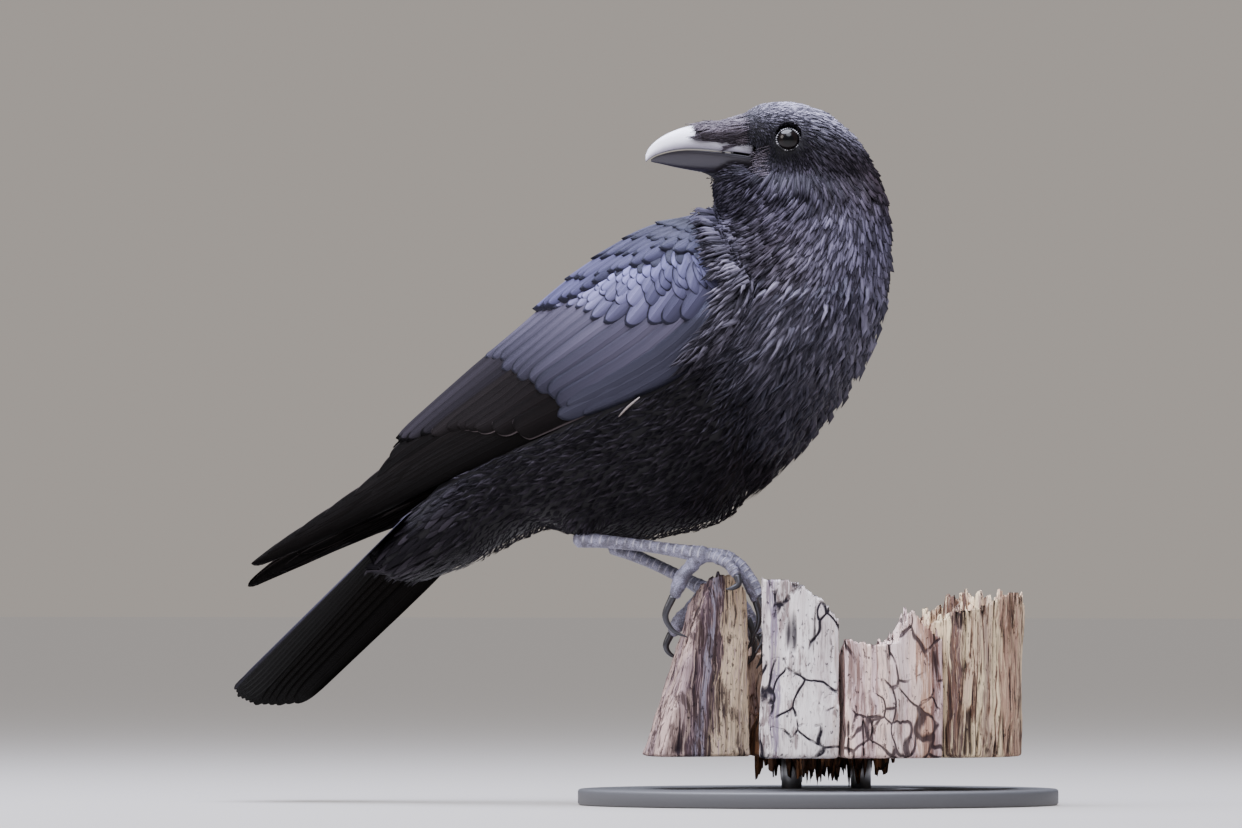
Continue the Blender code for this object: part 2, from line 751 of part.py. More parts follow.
def build():
    clear_scene()
    plumage = material("plumage", (0.012, 0.012, 0.016), 0.45)
    flight = material("flight_feathers", (0.016, 0.016, 0.026), 0.4)
    horn = material("bill_horn", (0.05, 0.048, 0.05), 0.35)
    eye_glass = material("eye", (0.01, 0.007, 0.005), 0.06)
    scales = material("leg_scales", (0.06, 0.058, 0.062), 0.45)
    claw_horn = material("claw_horn", (0.025, 0.023, 0.023), 0.35)
    pale_wood = material("weathered_wood", (0.55, 0.47, 0.38), 0.85)
    pink_wood = material("pink_wood", (0.42, 0.31, 0.27), 0.85)
    dark_wood = material("rotten_wood", (0.12, 0.08, 0.055), 0.9)
    stand_finish = material("stand_paint", (0.16, 0.16, 0.165), 0.5)
    steel = material("stand_steel", (0.5, 0.5, 0.51), 0.35, 1.0)

    flesh = flesh_mesh()
    head_cut = on_head(-6, 0, -33)
    head_direction = (Vector((0, 0, 1)) + forward_axis * 0.25).normalized()
    head, below = parted(flesh, head_cut, head_direction)
    neck_cut = Vector((60, 0, 262)) * mm
    neck, trunk = parted(below, neck_cut, Vector((0.45, 0, 0.9)).normalized())
    head, neck, trunk = thinned(head, 800), thinned(neck, 300), thinned(trunk, 980)
    socket = [ball(eye_radius + gap, eye_place(side), 14, 10) for side in (1, -1)]
    head_tool = grown(head, gap)
    new_object("head", minus(head, socket), plumage)
    new_object("neck", neck, plumage)
    new_object("trunk", trunk, plumage)
    for name, side in (("left", 1), ("right", -1)):
        new_object("eye_" + name, ball(eye_radius, eye_place(side)), eye_glass)
    build_bill(head_tool, horn)

    surface = bmesh.new()
    surface.from_mesh(flesh)
    body = BVHTree.FromBMesh(surface)
    surface.free()
    body_tool = grown(trunk, gap)
    for name, side, shift in (("right", -1, Vector()), ("left", 1, left_tip_shift)):
        new_object("wing_" + name, minus(wing_mesh(side, body, shift), [body_tool]), flight)
    new_object("tail", minus(tail_mesh(), [body_tool]), flight)

    tools = build_leg("right", right_hip, right_ankle, right_hub, right_toes, right_claws,
                      body_tool, plumage, scales, claw_horn)
    tools += build_leg("left", left_hip, left_ankle, left_hub, left_toes, left_claws,
                       body_tool, plumage, scales, claw_horn)
    build_perch(tools, pale_wood, pink_wood, dark_wood)
    build_stand(stand_finish, steel)
    stand_on_origin()


build()
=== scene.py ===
import math
import random

import bmesh
import bpy
import numpy as np
from mathutils import Matrix, Vector, noise
from mathutils.bvhtree import BVHTree


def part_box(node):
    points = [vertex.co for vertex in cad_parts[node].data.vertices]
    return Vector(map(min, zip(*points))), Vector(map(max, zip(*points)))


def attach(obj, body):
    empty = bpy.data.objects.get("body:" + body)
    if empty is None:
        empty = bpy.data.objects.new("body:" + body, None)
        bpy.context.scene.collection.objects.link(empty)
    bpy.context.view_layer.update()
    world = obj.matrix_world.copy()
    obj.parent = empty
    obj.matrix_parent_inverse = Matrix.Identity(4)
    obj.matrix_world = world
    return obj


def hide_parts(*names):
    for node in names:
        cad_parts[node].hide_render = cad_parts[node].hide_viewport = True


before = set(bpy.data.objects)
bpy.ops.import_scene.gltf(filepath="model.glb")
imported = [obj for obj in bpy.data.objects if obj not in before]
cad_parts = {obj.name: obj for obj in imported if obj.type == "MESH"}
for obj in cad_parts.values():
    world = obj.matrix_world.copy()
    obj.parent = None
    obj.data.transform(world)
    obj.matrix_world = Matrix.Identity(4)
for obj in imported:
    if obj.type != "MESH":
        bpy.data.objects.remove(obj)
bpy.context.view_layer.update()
mm = 0.001
up = Vector((0, 0, 1))


def middle(node):
    low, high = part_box(node)
    return (low + high) / 2


# Places on the bird: ahead, left and up of the point under its middle, in millimetres
ridgeTurn = math.radians(27)
acrossAxis = Vector((math.cos(ridgeTurn), math.sin(ridgeTurn), 0))
towardsAxis = Vector((math.sin(ridgeTurn), -math.cos(ridgeTurn), 0))
baseMiddle = middle("stand_base")
origin = Vector((baseMiddle.x, baseMiddle.y, 0)) - acrossAxis * 58 * mm


def at(x, y, z):
    return origin + Vector((x, y, z)) * mm


def onRidge(across, towards, height):
    return origin + (acrossAxis * across + towardsAxis * towards + up * height) * mm


# The head looks back over the right wing, so it has axes of its own, from between the eyes
headMiddle = (middle("eye_left") + middle("eye_right")) / 2
headLeft = (middle("eye_left") - middle("eye_right")).normalized()
headForward = Vector((headLeft.y, -headLeft.x, 0))


def onHead(forward, left, height):
    return headMiddle + (headForward * forward + headLeft * left + up * height) * mm


# One graph for shaders and geometry: wires can be added, multiplied and so on

class Wire:
    def __init__(self, graph, socket):
        self.graph = graph
        self.socket = socket

    def __add__(self, other):
        return self.graph.maths("ADD", self, other)

    def __radd__(self, other):
        return self.graph.maths("ADD", other, self)

    def __sub__(self, other):
        return self.graph.maths("SUBTRACT", self, other)

    def __rsub__(self, other):
        return self.graph.maths("SUBTRACT", other, self)

    def __mul__(self, other):
        return self.graph.maths("MULTIPLY", self, other)

    def __rmul__(self, other):
        return self.graph.maths("MULTIPLY", other, self)

    def __truediv__(self, other):
        return self.graph.maths("DIVIDE", self, other)

    def __pow__(self, other):
        return self.graph.maths("POWER", self, other)

    def __abs__(self):
        return self.graph.maths("ABSOLUTE", self)

    def between(self, low, high):
        # 0 below low, 1 above high, eased in between; low may be the larger one
        return self.graph.add("ShaderNodeMapRange", {"Value": self, "From Min": low, "From Max": high},
                              interpolation_type="SMOOTHSTEP")


class Graph:
    def __init__(self, tree):
        self.tree = tree

    def plug(self, value, socket):
        if isinstance(value, Wire):
            self.tree.links.new(value.socket, socket)
        elif socket.type == "RGBA" and len(value) == 3:
            socket.default_value = (*value, 1)  # colours are written without their alpha
        else:
            socket.default_value = value

    def add(self, kind, inputs=None, output=0, **settings):
        node = self.tree.nodes.new(kind)
        for key, value in settings.items():
            setattr(node, key, value)
        for key, value in (inputs or {}).items():
            self.plug(value, node.inputs[key])
        return Wire(self, node.outputs[output])

    def maths(self, operation, *values):
        return self.add("ShaderNodeMath", dict(enumerate(values)), operation=operation)

    def mix(self, factor, first, second):
        return self.add("ShaderNodeMix", {0: factor, 6: first, 7: second}, 2, data_type="RGBA")

    def vector(self, operation, *values):
        return self.add("ShaderNodeVectorMath", dict(enumerate(values)), operation=operation)

    def scaled(self, vector, factor):
        return self.add("ShaderNodeVectorMath", {0: vector, "Scale": factor}, operation="SCALE")

    def stretched(self, vector, scale, shift=(0, 0, 0)):
        return self.add("ShaderNodeMapping", {"Vector": vector, "Location": shift, "Scale": scale})


class Finish(Graph):
    # a material whose shader is one Principled BSDF
    def __init__(self, name, colour):
        self.material = bpy.data.materials.new(name)
        self.material.use_nodes = True
        self.material.diffuse_color = (*colour, 1)
        super().__init__(self.material.node_tree)
        self.tree.nodes.clear()
        self.shader = self.tree.nodes.new("ShaderNodeBsdfPrincipled")
        result = self.tree.nodes.new("ShaderNodeOutputMaterial")
        self.tree.links.new(self.shader.outputs[0], result.inputs["Surface"])
        self.set({"Base Color": colour})

    def set(self, values):
        for key, value in values.items():
            self.plug(value, self.shader.inputs[key])

    def place(self):
        return self.add("ShaderNodeTexCoord", None, "Object")

    def uv(self, name):
        return self.add("ShaderNodeUVMap", uv_map=name)

    def attribute(self, name, output="Fac"):
        return self.add("ShaderNodeAttribute", None, output, attribute_name=name)

    def clouds(self, vector, scale, detail=4.0, rough=0.55, output=0):
        return self.add("ShaderNodeTexNoise", {"Vector": vector, "Scale": scale, "Detail": detail,
                                               "Roughness": rough}, output)

    def cells(self, vector, scale):
        return self.add("ShaderNodeTexVoronoi", {"Vector": vector, "Scale": scale},
                        feature="DISTANCE_TO_EDGE")

    def bump(self, height, strength, distance, under=None):
        inputs = {"Height": height, "Strength": strength, "Distance": distance}
        if under is not None:
            inputs["Normal"] = under
        return self.add("ShaderNodeBump", inputs)


# Meshes

def meshOf(name, points, faces):
    mesh = bpy.data.meshes.new(name)
    mesh.from_pydata([tuple(p) for p in points], [], faces)
    mesh.update()
    return mesh


def outward(mesh):
    work = bmesh.new()
    work.from_mesh(mesh)
    bmesh.ops.remove_doubles(work, verts=work.verts, dist=0.00002)
    bmesh.ops.recalc_face_normals(work, faces=work.faces)
    work.to_mesh(mesh)
    work.free()
    return mesh


def loft(name, rings):
    # closed skin over rings of equal size, with both ends capped by a fan
    count = len(rings[0])
    points = [p for ring in rings for p in ring]
    faces = []
    for i in range(len(rings) - 1):
        for j in range(count):
            k = (j + 1) % count
            faces.append((i * count + j, i * count + k, (i + 1) * count + k, (i + 1) * count + j))
    for first in (0, len(rings) - 1):
        hub = sum((Vector(p) for p in rings[first]), Vector()) / count
        points.append(hub)
        last = len(points) - 1
        for j in range(count):
            faces.append((first * count + j, first * count + (j + 1) % count, last))
    return outward(meshOf(name, points, faces))


def meshFrom(name, work):
    mesh = bpy.data.meshes.new(name)
    work.to_mesh(mesh)
    work.free()
    return mesh


def joinedMesh(name, meshes):
    work = bmesh.new()
    for mesh in meshes:
        work.from_mesh(mesh)
    return meshFrom(name, work)


def ballMesh(name, centre, radius, segments, turn=Matrix.Identity(4)):
    work = bmesh.new()
    bmesh.ops.create_uvsphere(work, u_segments=segments[0], v_segments=segments[1], radius=radius,
                              matrix=Matrix.Translation(centre) @ turn)
    return meshFrom(name, work)


def circle(count):
    # cosine and sine of each of the angles round a circle
    for j in range(count):
        angle = 2 * math.pi * j / count
        yield math.cos(angle), math.sin(angle)


def linked(name, data):
    item = bpy.data.objects.new(name, data)
    bpy.context.scene.collection.objects.link(item)
    return item


def plainMesh(item):
    # what the object's modifiers make of it; the object itself goes
    graph = bpy.context.evaluated_depsgraph_get()
    made = bpy.data.meshes.new_from_object(item.evaluated_get(graph))
    bpy.data.objects.remove(item)
    return made


def treeOf(mesh):
    return BVHTree.FromPolygons([v.co for v in mesh.vertices], [p.vertices for p in mesh.polygons])


def nodeMesh(node):
    return outward(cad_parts[node].data.copy())


def shaped(mesh, settings):
    # the mesh after a row of modifiers, as a plain mesh
    item = linked("work", mesh)
    for kind, values in settings:
        modifier = item.modifiers.new(kind.lower(), kind)
        for key, value in values.items():
            setattr(modifier, key, value)
    return plainMesh(item)


def softened(mesh, rounds, voxel=None):
    # smoothed, after a voxel remesh where a voxel's size is given
    steps = [("REMESH", {"mode": "VOXEL", "voxel_size": voxel})] if voxel else []
    return shaped(mesh, steps + [("SMOOTH", {"factor": 0.5, "iterations": rounds})])


def piece(name, mesh, finish, nodes=()):
    item = linked(name, mesh)
    mesh.name = name
    mesh.materials.clear()
    mesh.materials.append(finish)
    mesh.polygons.foreach_set("use_smooth", [True] * len(mesh.polygons))
    mesh.update()
    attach(item, "root")
    if nodes:
        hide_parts(*nodes)
    return item


def catmull(points, steps):
    # smooth path through the points; numbers or vectors
    path = []
    ends = [points[0] * 2 - points[1]] + list(points) + [points[-1] * 2 - points[-2]]
    for i in range(1, len(ends) - 2):
        a, b, c, d = ends[i - 1:i + 3]
        for k in range(steps):
            t = k / steps
            path.append((b * 2 + (c - a) * t + (a * 2 - b * 5 + c * 4 - d) * t ** 2
                         + (b * 3 - a - c * 3 + d) * t ** 3) * 0.5)
    path.append(points[-1])
    return path


def along(path, t):
    # place on a row of points, t from 0 to 1
    x = max(0.0, min(1.0, t)) * (len(path) - 1)
    i = min(int(x), len(path) - 2)
    return path[i] * (1 - (x - i)) + path[i + 1] * (x - i)


def coords(mesh):
    flat = np.empty(len(mesh.vertices) * 3)
    mesh.vertices.foreach_get("co", flat)
    return flat.reshape(-1, 3)


def normals(mesh):
    flat = np.empty(len(mesh.vertices) * 3)
    mesh.vertex_normals.foreach_get("vector", flat)
    return flat.reshape(-1, 3)


def setCoords(mesh, places):
    mesh.vertices.foreach_set("co", np.asarray(places, float).ravel())
    mesh.update()


def setAttribute(mesh, name, kind, values):
    values = np.asarray(values, float)
    if kind == "FLOAT_COLOR":
        values = np.hstack([values, np.ones((len(values), 1))])
    layer = mesh.attributes.get(name) or mesh.attributes.new(name, kind, "POINT")
    key = {"FLOAT": "value", "FLOAT_VECTOR": "vector", "FLOAT_COLOR": "color"}[kind]
    layer.data.foreach_set(key, values.ravel())


def ease(values, low, high):
    t = np.clip((values - low) / (high - low), 0, 1)
    return t * t * (3 - 2 * t)


# Plumage colours, used by the skin, the coat and the large feathers alike

# the crown, hackles, mantle and breast tints, paler and bluer than the near-black plumage, are painted sheen
plumageTints = {
    "lores": (0.0022, 0.0018, 0.0022),
    "face": (0.010, 0.009, 0.012),
    "crownSheen": (0.62, 0.58, 0.74),
    "ear": (0.020, 0.017, 0.022),
    "nape": (0.034, 0.022, 0.026),
    "hackles": (0.110, 0.100, 0.150),
    "mantle": (0.050, 0.050, 0.078),
    "wing": (0.040, 0.038, 0.058),
    "breast": (0.140, 0.128, 0.165),
    "belly": (0.0185, 0.0155, 0.0195),
    "tail": (0.0032, 0.0020, 0.0012),
}


def featherFinish(name, sheen, barbs, rim, roughness, gloss, paintedEdgeLight=0.0):
    # tint and shade are attributes of the feather; vane runs across and along it; rim is where
    # the painted shade along the edge begins, or None where each feather has its own rim and outline
    look = Finish(name, plumageTints["wing"])
    vane = look.uv("vane")
    side = abs(look.add("ShaderNodeSeparateXYZ", {0: vane}) - 0.5) * 2
    length = look.add("ShaderNodeSeparateXYZ", {0: vane}, 1)
    shade = look.attribute("shade")
    if rim is None:
        # painted shade along each feather's outline, where the next feather overlaps it; painted sheen down
        # the middle of the vane, and on flight feathers a painted highlight along the outer edge
        rimAt = look.attribute("rim")
        dark = look.attribute("outline").between(rimAt, 0.75 * rimAt + 0.25)
        paintedLight = side.between(0.8, 0.1) * 0.55 + 0.75
        if paintedEdgeLight:
            paintedLight = paintedLight * (1 + paintedEdgeLight * rimAt.between(0.97, 1.0) * side.between(0.88, 0.97))
    else:
        # painted shade along the sides and at the tip of each feather, where its neighbours overlap it
        dark = 1 - (1 - side.between(rim, 1.0)) * (1 - length.between(0.93, 1.0))
        paintedLight = 1.0
    streak = look.clouds(look.stretched(vane, (barbs * 0.45, 1.6, 1)), 1.0, 2.0)
    tone = (0.25 + 1.5 * shade * shade) * (1 - 0.9 * dark) * (0.6 + 0.8 * streak) * paintedLight
    slant = look.add("ShaderNodeCombineXYZ", {0: length * 0.55 - side * 0.16, 1: side * 0.02})
    wave = look.add("ShaderNodeTexWave", {"Vector": slant, "Scale": barbs, "Distortion": 0.6,
                                          "Detail": 1.0}, wave_profile="SIN")
    shaft = side.between(0.09, 0.0)
    look.set({
        "Base Color": look.scaled(look.attribute("tint", "Color"), tone),
        "Roughness": roughness + 0.14 * streak,
        "Normal": look.bump(wave * 0.5 + shaft * 1.6, 0.35, 0.0004),
        "Specular IOR Level": sheen,
        "Specular Tint": gloss,
    })
    return look.material


# sheen, barbs to a vane, where the rim begins, roughness, gloss, painted light along the outer edge
flightFinish = featherFinish("flightFeathers", 0.05, 46.0, None, 0.42, (1.0, 0.90, 0.86), 20.0)
covertFinish = featherFinish("covertFeathers", 0.45, 40.0, None, 0.40, (0.62, 0.62, 1.0))
tailFinish = featherFinish("tailFeathers", 0.04, 46.0, None, 0.5, (1.0, 0.92, 0.85))
bodyFinish = featherFinish("bodyFeathers", 0.45, 16.0, 0.75, 0.36, (0.78, 0.76, 1.0))
lowerFinish = featherFinish("lowerFeathers", 0.12, 16.0, 0.7, 0.5, (0.9, 0.85, 1.0))
headFinish = featherFinish("headFeathers", 0.2, 8.0, 0.6, 0.38, (0.85, 0.83, 1.0))
faceFinish = featherFinish("faceFeathers", 0.07, 8.0, 0.6, 0.46, (0.9, 0.84, 1.0))
napeFinish = featherFinish("napeFeathers", 0.24, 16.0, 0.75, 0.38, (0.95, 0.84, 0.96))
print("finishes for feathers made")


# Skin under the coat

fleshNodes = ("head", "neck", "trunk", "thigh_left", "thigh_right")
skinForm = {
    "voxel": 1.5 * mm,
    "grow": 0.5 * mm,         # closes the joints between the solids
    "smoothing": 7,
    "faceDepth": 0.7 * mm,    # thickness of the coat on the face and on the body
    "bodyDepth": 3.0 * mm,
    "eyeOpening": 5.6 * mm,
    "eyeRoom": 6.5 * mm,
    "eye": (0.3, 15.7, -1.7),  # forward, out and up of the middle of the head
    "browDrop": 2.6,          # in millimetres
}


def grownCopy(node, distance):
    mesh = nodeMesh(node)
    setCoords(mesh, coords(mesh) + normals(mesh) * distance)
    return mesh


def headPlaces(points):
    # forward, left and up of the middle between the eyes, in millimetres
    rel = points - np.array(headMiddle)
    return np.stack([rel @ np.array(headForward), rel @ np.array(headLeft), rel[:, 2]], 1) / mm


def birdPlaces(points):
    return (points - np.array(origin)) / mm


def eyePlace(side):
    forward, out, high = skinForm["eye"]
    return onHead(forward, side * out, high)


def eyeGapOf(head):
    # distance to the nearer eye, in millimetres
    forward, out, high = skinForm["eye"]
    rel = [head[:, 0] - forward, np.abs(head[:, 1]) - out, head[:, 2] - high]
    return np.linalg.norm(np.stack(rel), axis=0)


def moveHead(mesh, way, shareOf):
    # points of the head move along a way by what shareOf makes of their forward, left and up, in millimetres
    places = coords(mesh)
    setCoords(mesh, places + np.array(way) * (shareOf(*headPlaces(places).T) * mm)[:, None])


def headShare(points):
    # 1 on the head, 0 on the body
    head = headPlaces(points)
    low = -26 - 0.35 * np.clip(head[:, 0], -60, 30)
    return ease(head[:, 2], low - 10, low + 4) * ease(head[:, 0], -62, -50)


def coatDepth(points):
    head = headPlaces(points)
    high = birdPlaces(points)[:, 2]
    fine = ease(head[:, 0], -46, 4) * ease(head[:, 2], -40, -18)
    bristly = ease(head[:, 0], 18, 30)
    depth = 1 + (skinForm["bodyDepth"] / skinForm["faceDepth"] - 1) * (1 - fine)
    tight = ease(high, 138, 150) * (1 - ease(high, 150, 400)) + ease(high, 150, 160)
    legs = np.where(high < 150, 0.55 + 0.45 * np.clip(tight, 0, 1), 1)
    return skinForm["faceDepth"] * depth * legs * (1 - 0.3 * bristly)


def makeSkin():
    solid = joinedMesh("skin", [grownCopy(node, skinForm["grow"]) for node in fleshNodes])
    mesh = softened(solid, skinForm["smoothing"], skinForm["voxel"])
    places = coords(mesh)
    depth = coatDepth(places) + skinForm["grow"]
    setCoords(mesh, places - normals(mesh) * depth[:, None])
    mesh = softened(mesh, 3)
    lowBrow(mesh)
    clearGape(mesh)
    for side in (-1, 1):
        clearEye(mesh, side)
    return mesh


def clearGape(mesh):
    # the skin dips behind the horn at the corners of the bill
    moveHead(mesh, -headLeft, lambda f, l, u: (
        np.sign(l) * np.maximum(np.abs(l) - 2.5, 0)
        * ease(f, 13, 18) * ease(u, -21, -18) * ease(u, -2.5, -6)))


def lowBrow(mesh):
    # the bristles over the nostrils lie lower than the forehead behind them
    moveHead(mesh, -up, lambda f, l, u: (
        skinForm["browDrop"] * ease(f, 13, 25) * ease(f, 45, 32) * ease(u, 1, 7)))


def clearEye(mesh, side):
    # the skin stays out of the eyeball and outside its lids
    room, opening = skinForm["eyeRoom"], skinForm["eyeOpening"]
    places = coords(mesh)
    eye = np.array(eyePlace(side))
    rel = places - eye
    reach = np.linalg.norm(rel, axis=1)
    near = reach < room
    rel[near] *= (room / reach[near])[:, None]
    places = eye + rel
    axis = np.array(headLeft) * side
    outside = rel @ axis
    radial = rel - outside[:, None] * axis
    spread = np.linalg.norm(radial, axis=1)
    front = (outside > 0) & (spread < opening)
    places[front] += radial[front] * ((opening / np.maximum(spread[front], 1e-5) - 1)[:, None])
    setCoords(mesh, places)


# Lie of the feathers: a place and the way the feathers point there

headLie = [
    ((38, 0, 8), (1, 0, -0.25)), ((28, 0, 13), (-1, 0, 0.3)), ((12, 0, 17), (-1, 0, 0.05)),
    ((-6, 0, 18), (-1, 0, -0.1)), ((-24, 0, 10), (-1, 0, -0.6)), ((-40, 0, -8), (-0.5, 0, -1)),
    ((20, 9, 3), (-1, 0.3, 0.05)), ((18, 9, -12), (-1, 0.3, -0.15)), ((2, 18, 11), (-1, 0.1, 0.1)),
    ((4, 18, -11), (-1, 0.2, -0.2)), ((-12, 20, 4), (-1, 0, -0.12)), ((-14, 20, -12), (-1, 0, -0.3)),
    ((-28, 17, -6), (-1, 0, -0.5)), ((-30, 17, -22), (-0.7, 0, -0.9)), ((8, 12, -26), (-0.9, 0.1, -0.4)),
    ((36, 0, -20), (-1, 0, -0.1)), ((18, 0, -28), (-0.9, 0, -0.5)), ((0, 0, -36), (-0.5, 0, -1)),
    ((-14, 12, -34), (-0.55, 0, -1)),
]
bodyLie = [
    ((58, 0, 292), (-0.6, 0, -0.9)), ((32, 0, 297), (-1, 0, 0.0)), ((0, 0, 286), (-1, 0, -0.3)),
    ((-40, 0, 264), (-1, 0, -0.6)), ((-90, 0, 215), (-0.8, 0, -0.75)), ((-140, 0, 150), (-0.8, 0, -0.7)),
    ((20, 22, 285), (-1, 0.15, -0.35)), ((70, 26, 270), (-0.4, 0.1, -1)), ((88, 0, 265), (0.05, 0, -1)),
    ((70, 34, 240), (-0.35, 0.1, -1)), ((97, 0, 235), (-0.05, 0, -1)), ((60, 48, 225), (-0.6, 0, -1)),
    ((84, 0, 200), (-0.5, 0, -1)), ((55, 40, 195), (-0.8, 0, -0.8)), ((60, 0, 170), (-0.9, 0, -0.6)),
    ((20, 48, 185), (-1, 0, -0.45)), ((20, 0, 142), (-1, 0, -0.15)), ((-30, 0, 131), (-1, 0, 0.0)),
    ((-30, 46, 170), (-1, 0, -0.35)), ((-80, 0, 131), (-1, 0, -0.1)), ((-80, 38, 165), (-1, 0, -0.4)),
    ((-140, 0, 113), (-1, 0, -0.78)), ((-150, 20, 130), (-1, 0, -0.78)), ((-166, 0, 118), (-1, 0, -0.78)),
    ((48, 44, 262), (-1, 0.1, -0.7)), ((54, 47, 240), (-1, 0, -0.6)), ((40, 52, 215), (-1, 0, -0.5)),
    ((60, 42, 254), (-1, 0.05, -0.55)), ((52, 48, 226), (-1, 0, -0.5)),
    ((30, 28, 289), (-1, 0.2, -0.5)),
]
legLie = [
    ((-22, 22, 168), (-1, 0, -0.5)), ((-40, 24, 146), (-0.5, 0, -1)), ((-55, 26, 132), (0.3, 0, -1)),
]


def bothSides(out):
    return (-1, 1) if out else (1,)


def lieGuides():
    guides = []
    for (f, l, u), (df, dl, du) in headLie:
        for side in bothSides(l):
            way = headForward * df + headLeft * dl * side + up * du
            guides.append((onHead(f, l * side, u), way.normalized(), 9))
    for rows, reach in ((bodyLie, 26), (legLie, 13)):
        for (x, y, z), (dx, dy, dz) in rows:
            for side in bothSides(y):
                way = Vector((dx, dy * side, dz)).normalized()
                guides.append((at(x, y * side, z), way, reach))
    return guides


def unit(rows, least=1e-9):
    return rows / np.maximum(np.linalg.norm(rows, axis=1), least)[:, None]


def nearness(points, place, reach, far):
    # 1 at the place, falling to the far share and on towards 0
    gap = np.linalg.norm(points - np.array(place), axis=1) / (reach * mm)
    return (np.exp(-0.5 * gap ** 2) + far / (1 + gap ** 4))[:, None]


def lieOf(points, outs):
    total = np.zeros_like(points)
    for place, way, reach in lieGuides():
        total += nearness(points, place, reach, 0.002) * np.array(way)
    for side in (-1, 1):  # the feathers part in front of the eye
        rel = points - np.array(eyePlace(side))
        away = rel - (rel @ np.array(headLeft))[:, None] * np.array(headLeft)
        reach = np.linalg.norm(away, axis=1)
        away = unit(away, 1e-6)
        way = unit(total)
        inward = np.minimum((way * away).sum(1), 0)
        share = 1 - ease(reach, 6 * mm, 11 * mm)
        share *= (np.linalg.norm(rel, axis=1) < 14 * mm)
        total = way - away * (inward * share * 1.25)[:, None]
    total -= outs * (total * outs).sum(1)[:, None]
    return unit(total)


def blended(points, rows):
    # colour by nearness to named places
    total, weights = 0, 0
    for place, tint, reach in rows:
        weight = nearness(points, place, reach, 0.0005)
        total = total + weight * np.array(plumageTints[tint])
        weights = weights + weight
    return total / weights


def tintRows():
    # the crown, hackles, mantle and breast places spread painted sheen; the lores, face, ear, nape and belly
    # places spread the plumage's own dark colours
    rows = [
        (onHead(24, 0, 8), "face", 12), (onHead(0, 0, 6), "face", 12), (onHead(8, 0, -22), "face", 10),
        (onHead(-8, 0, 17), "crownSheen", 9), (onHead(8, 0, 17), "crownSheen", 8), (onHead(-22, 0, 12), "crownSheen", 8),
        (onHead(-22, 0, 0), "ear", 13), (onHead(-20, 0, -16), "ear", 13),
        (onHead(-40, 0, -18), "nape", 15), (at(40, 0, 292), "nape", 16), (onHead(6, 0, -42), "hackles", 14),
        (at(90, -8, 268), "hackles", 18), (at(62, -28, 268), "nape", 12), (at(0, 0, 285), "mantle", 24),
        (at(-60, 0, 250), "mantle", 30), (at(-120, 0, 190), "mantle", 20), (at(-165, 0, 116), "belly", 20),
    ]
    for side in (-1, 1):
        rows += [(onHead(12, side * 12, -3), "lores", 7), (onHead(2, side * 17, -8), "lores", 5),
                 (at(90, side * 22, 238), "breast", 22), (at(58, side * 46, 248), "breast", 20),
                 (at(94, side * 8, 262), "hackles", 16), (at(84, side * 20, 205), "belly", 20),
                 (at(50, side * 40, 205), "belly", 22), (at(0, side * 30, 160), "belly", 34),
                 (at(-70, side * 26, 140), "belly", 34), (at(-140, side * 14, 118), "belly", 26),
                 (at(-120, side * 24, 145), "belly", 24), (at(-152, side * 16, 132), "belly", 18),
                 (at(-52, side * 26, 135), "belly", 12)]
    return rows


def dressSkin(mesh):
    points, outs = coords(mesh), normals(mesh)
    setAttribute(mesh, "outward", "FLOAT_VECTOR", outs)
    setAttribute(mesh, "lie", "FLOAT_VECTOR", lieOf(points, outs))
    setAttribute(mesh, "tint", "FLOAT_COLOR", blended(points, tintRows()))
    return points, outs


def unwrapped(item):
    # an unwrap of the skin's own shape, which the coat's patches are laid out on
    item.data.uv_layers.new(name="OFBake")
    bpy.context.view_layer.objects.active = item
    item.select_set(True)
    bpy.ops.object.mode_set(mode="EDIT")
    bpy.ops.mesh.select_all(action="SELECT")
    bpy.ops.uv.smart_project(angle_limit=math.radians(66), island_margin=0.002)
    bpy.ops.object.mode_set(mode="OBJECT")
    item.select_set(False)


def skinFinish():
    look = Finish("skin", plumageTints["belly"])
    tint = look.attribute("tint", "Color")
    look.set({"Base Color": look.vector("MULTIPLY", tint, (0.45, 0.45, 0.45)),
              "Roughness": 0.6, "Specular IOR Level": 0.25})
    return look.material


def makeBed():
    # what the coat lies on: skin, wings, tail and bill as one smooth surface; a helper only
    firmNodes = ("wing_left", "wing_right", "tail", "bill_upper", "bill_lower")
    parts = [grownCopy(node, skinForm["grow"]) for node in fleshNodes + firmNodes]
    mesh = softened(joinedMesh("bed", parts), 6, 1.7 * mm)
    firm, soft = (treeOf(joinedMesh("solids", [nodeMesh(node) for node in nodes]))
                  for nodes in (firmNodes, fleshNodes))
    places = coords(mesh)
    depth = coatDepth(places)
    for i, place in enumerate(places):
        spot = Vector(place)
        firmGap, softGap = firm.find_nearest(spot)[3], soft.find_nearest(spot)[3]
        share = min(1.0, max(0.0, (softGap - firmGap) / (3 * mm) + 0.5))
        depth[i] *= 1 - 0.9 * share
    setCoords(mesh, places - normals(mesh) * (depth + 0.6 * skinForm["grow"])[:, None])
    lowBrow(mesh)
    mesh = softened(mesh, 4)
    setAttribute(mesh, "outward", "FLOAT_VECTOR", normals(mesh))
    return linked("bed", mesh)


skin = piece("skin", makeSkin(), skinFinish(), fleshNodes)
skinPoints, skinOuts = dressSkin(skin.data)
unwrapped(skin)
bed = makeBed()
print("skin made:", len(skin.data.polygons), "faces")


# Zones of the coat, each 0 to 1 over the skin

wingTrees = [treeOf(nodeMesh(node)) for node in ("wing_left", "wing_right")]
wingCover = {"lowest": 120 * mm, "highest": 292 * mm, "reach": 9 * mm,
             "front": at(34, 0, 0).x, "frontReach": 35 * mm}  # bare skin ends further under the front edge


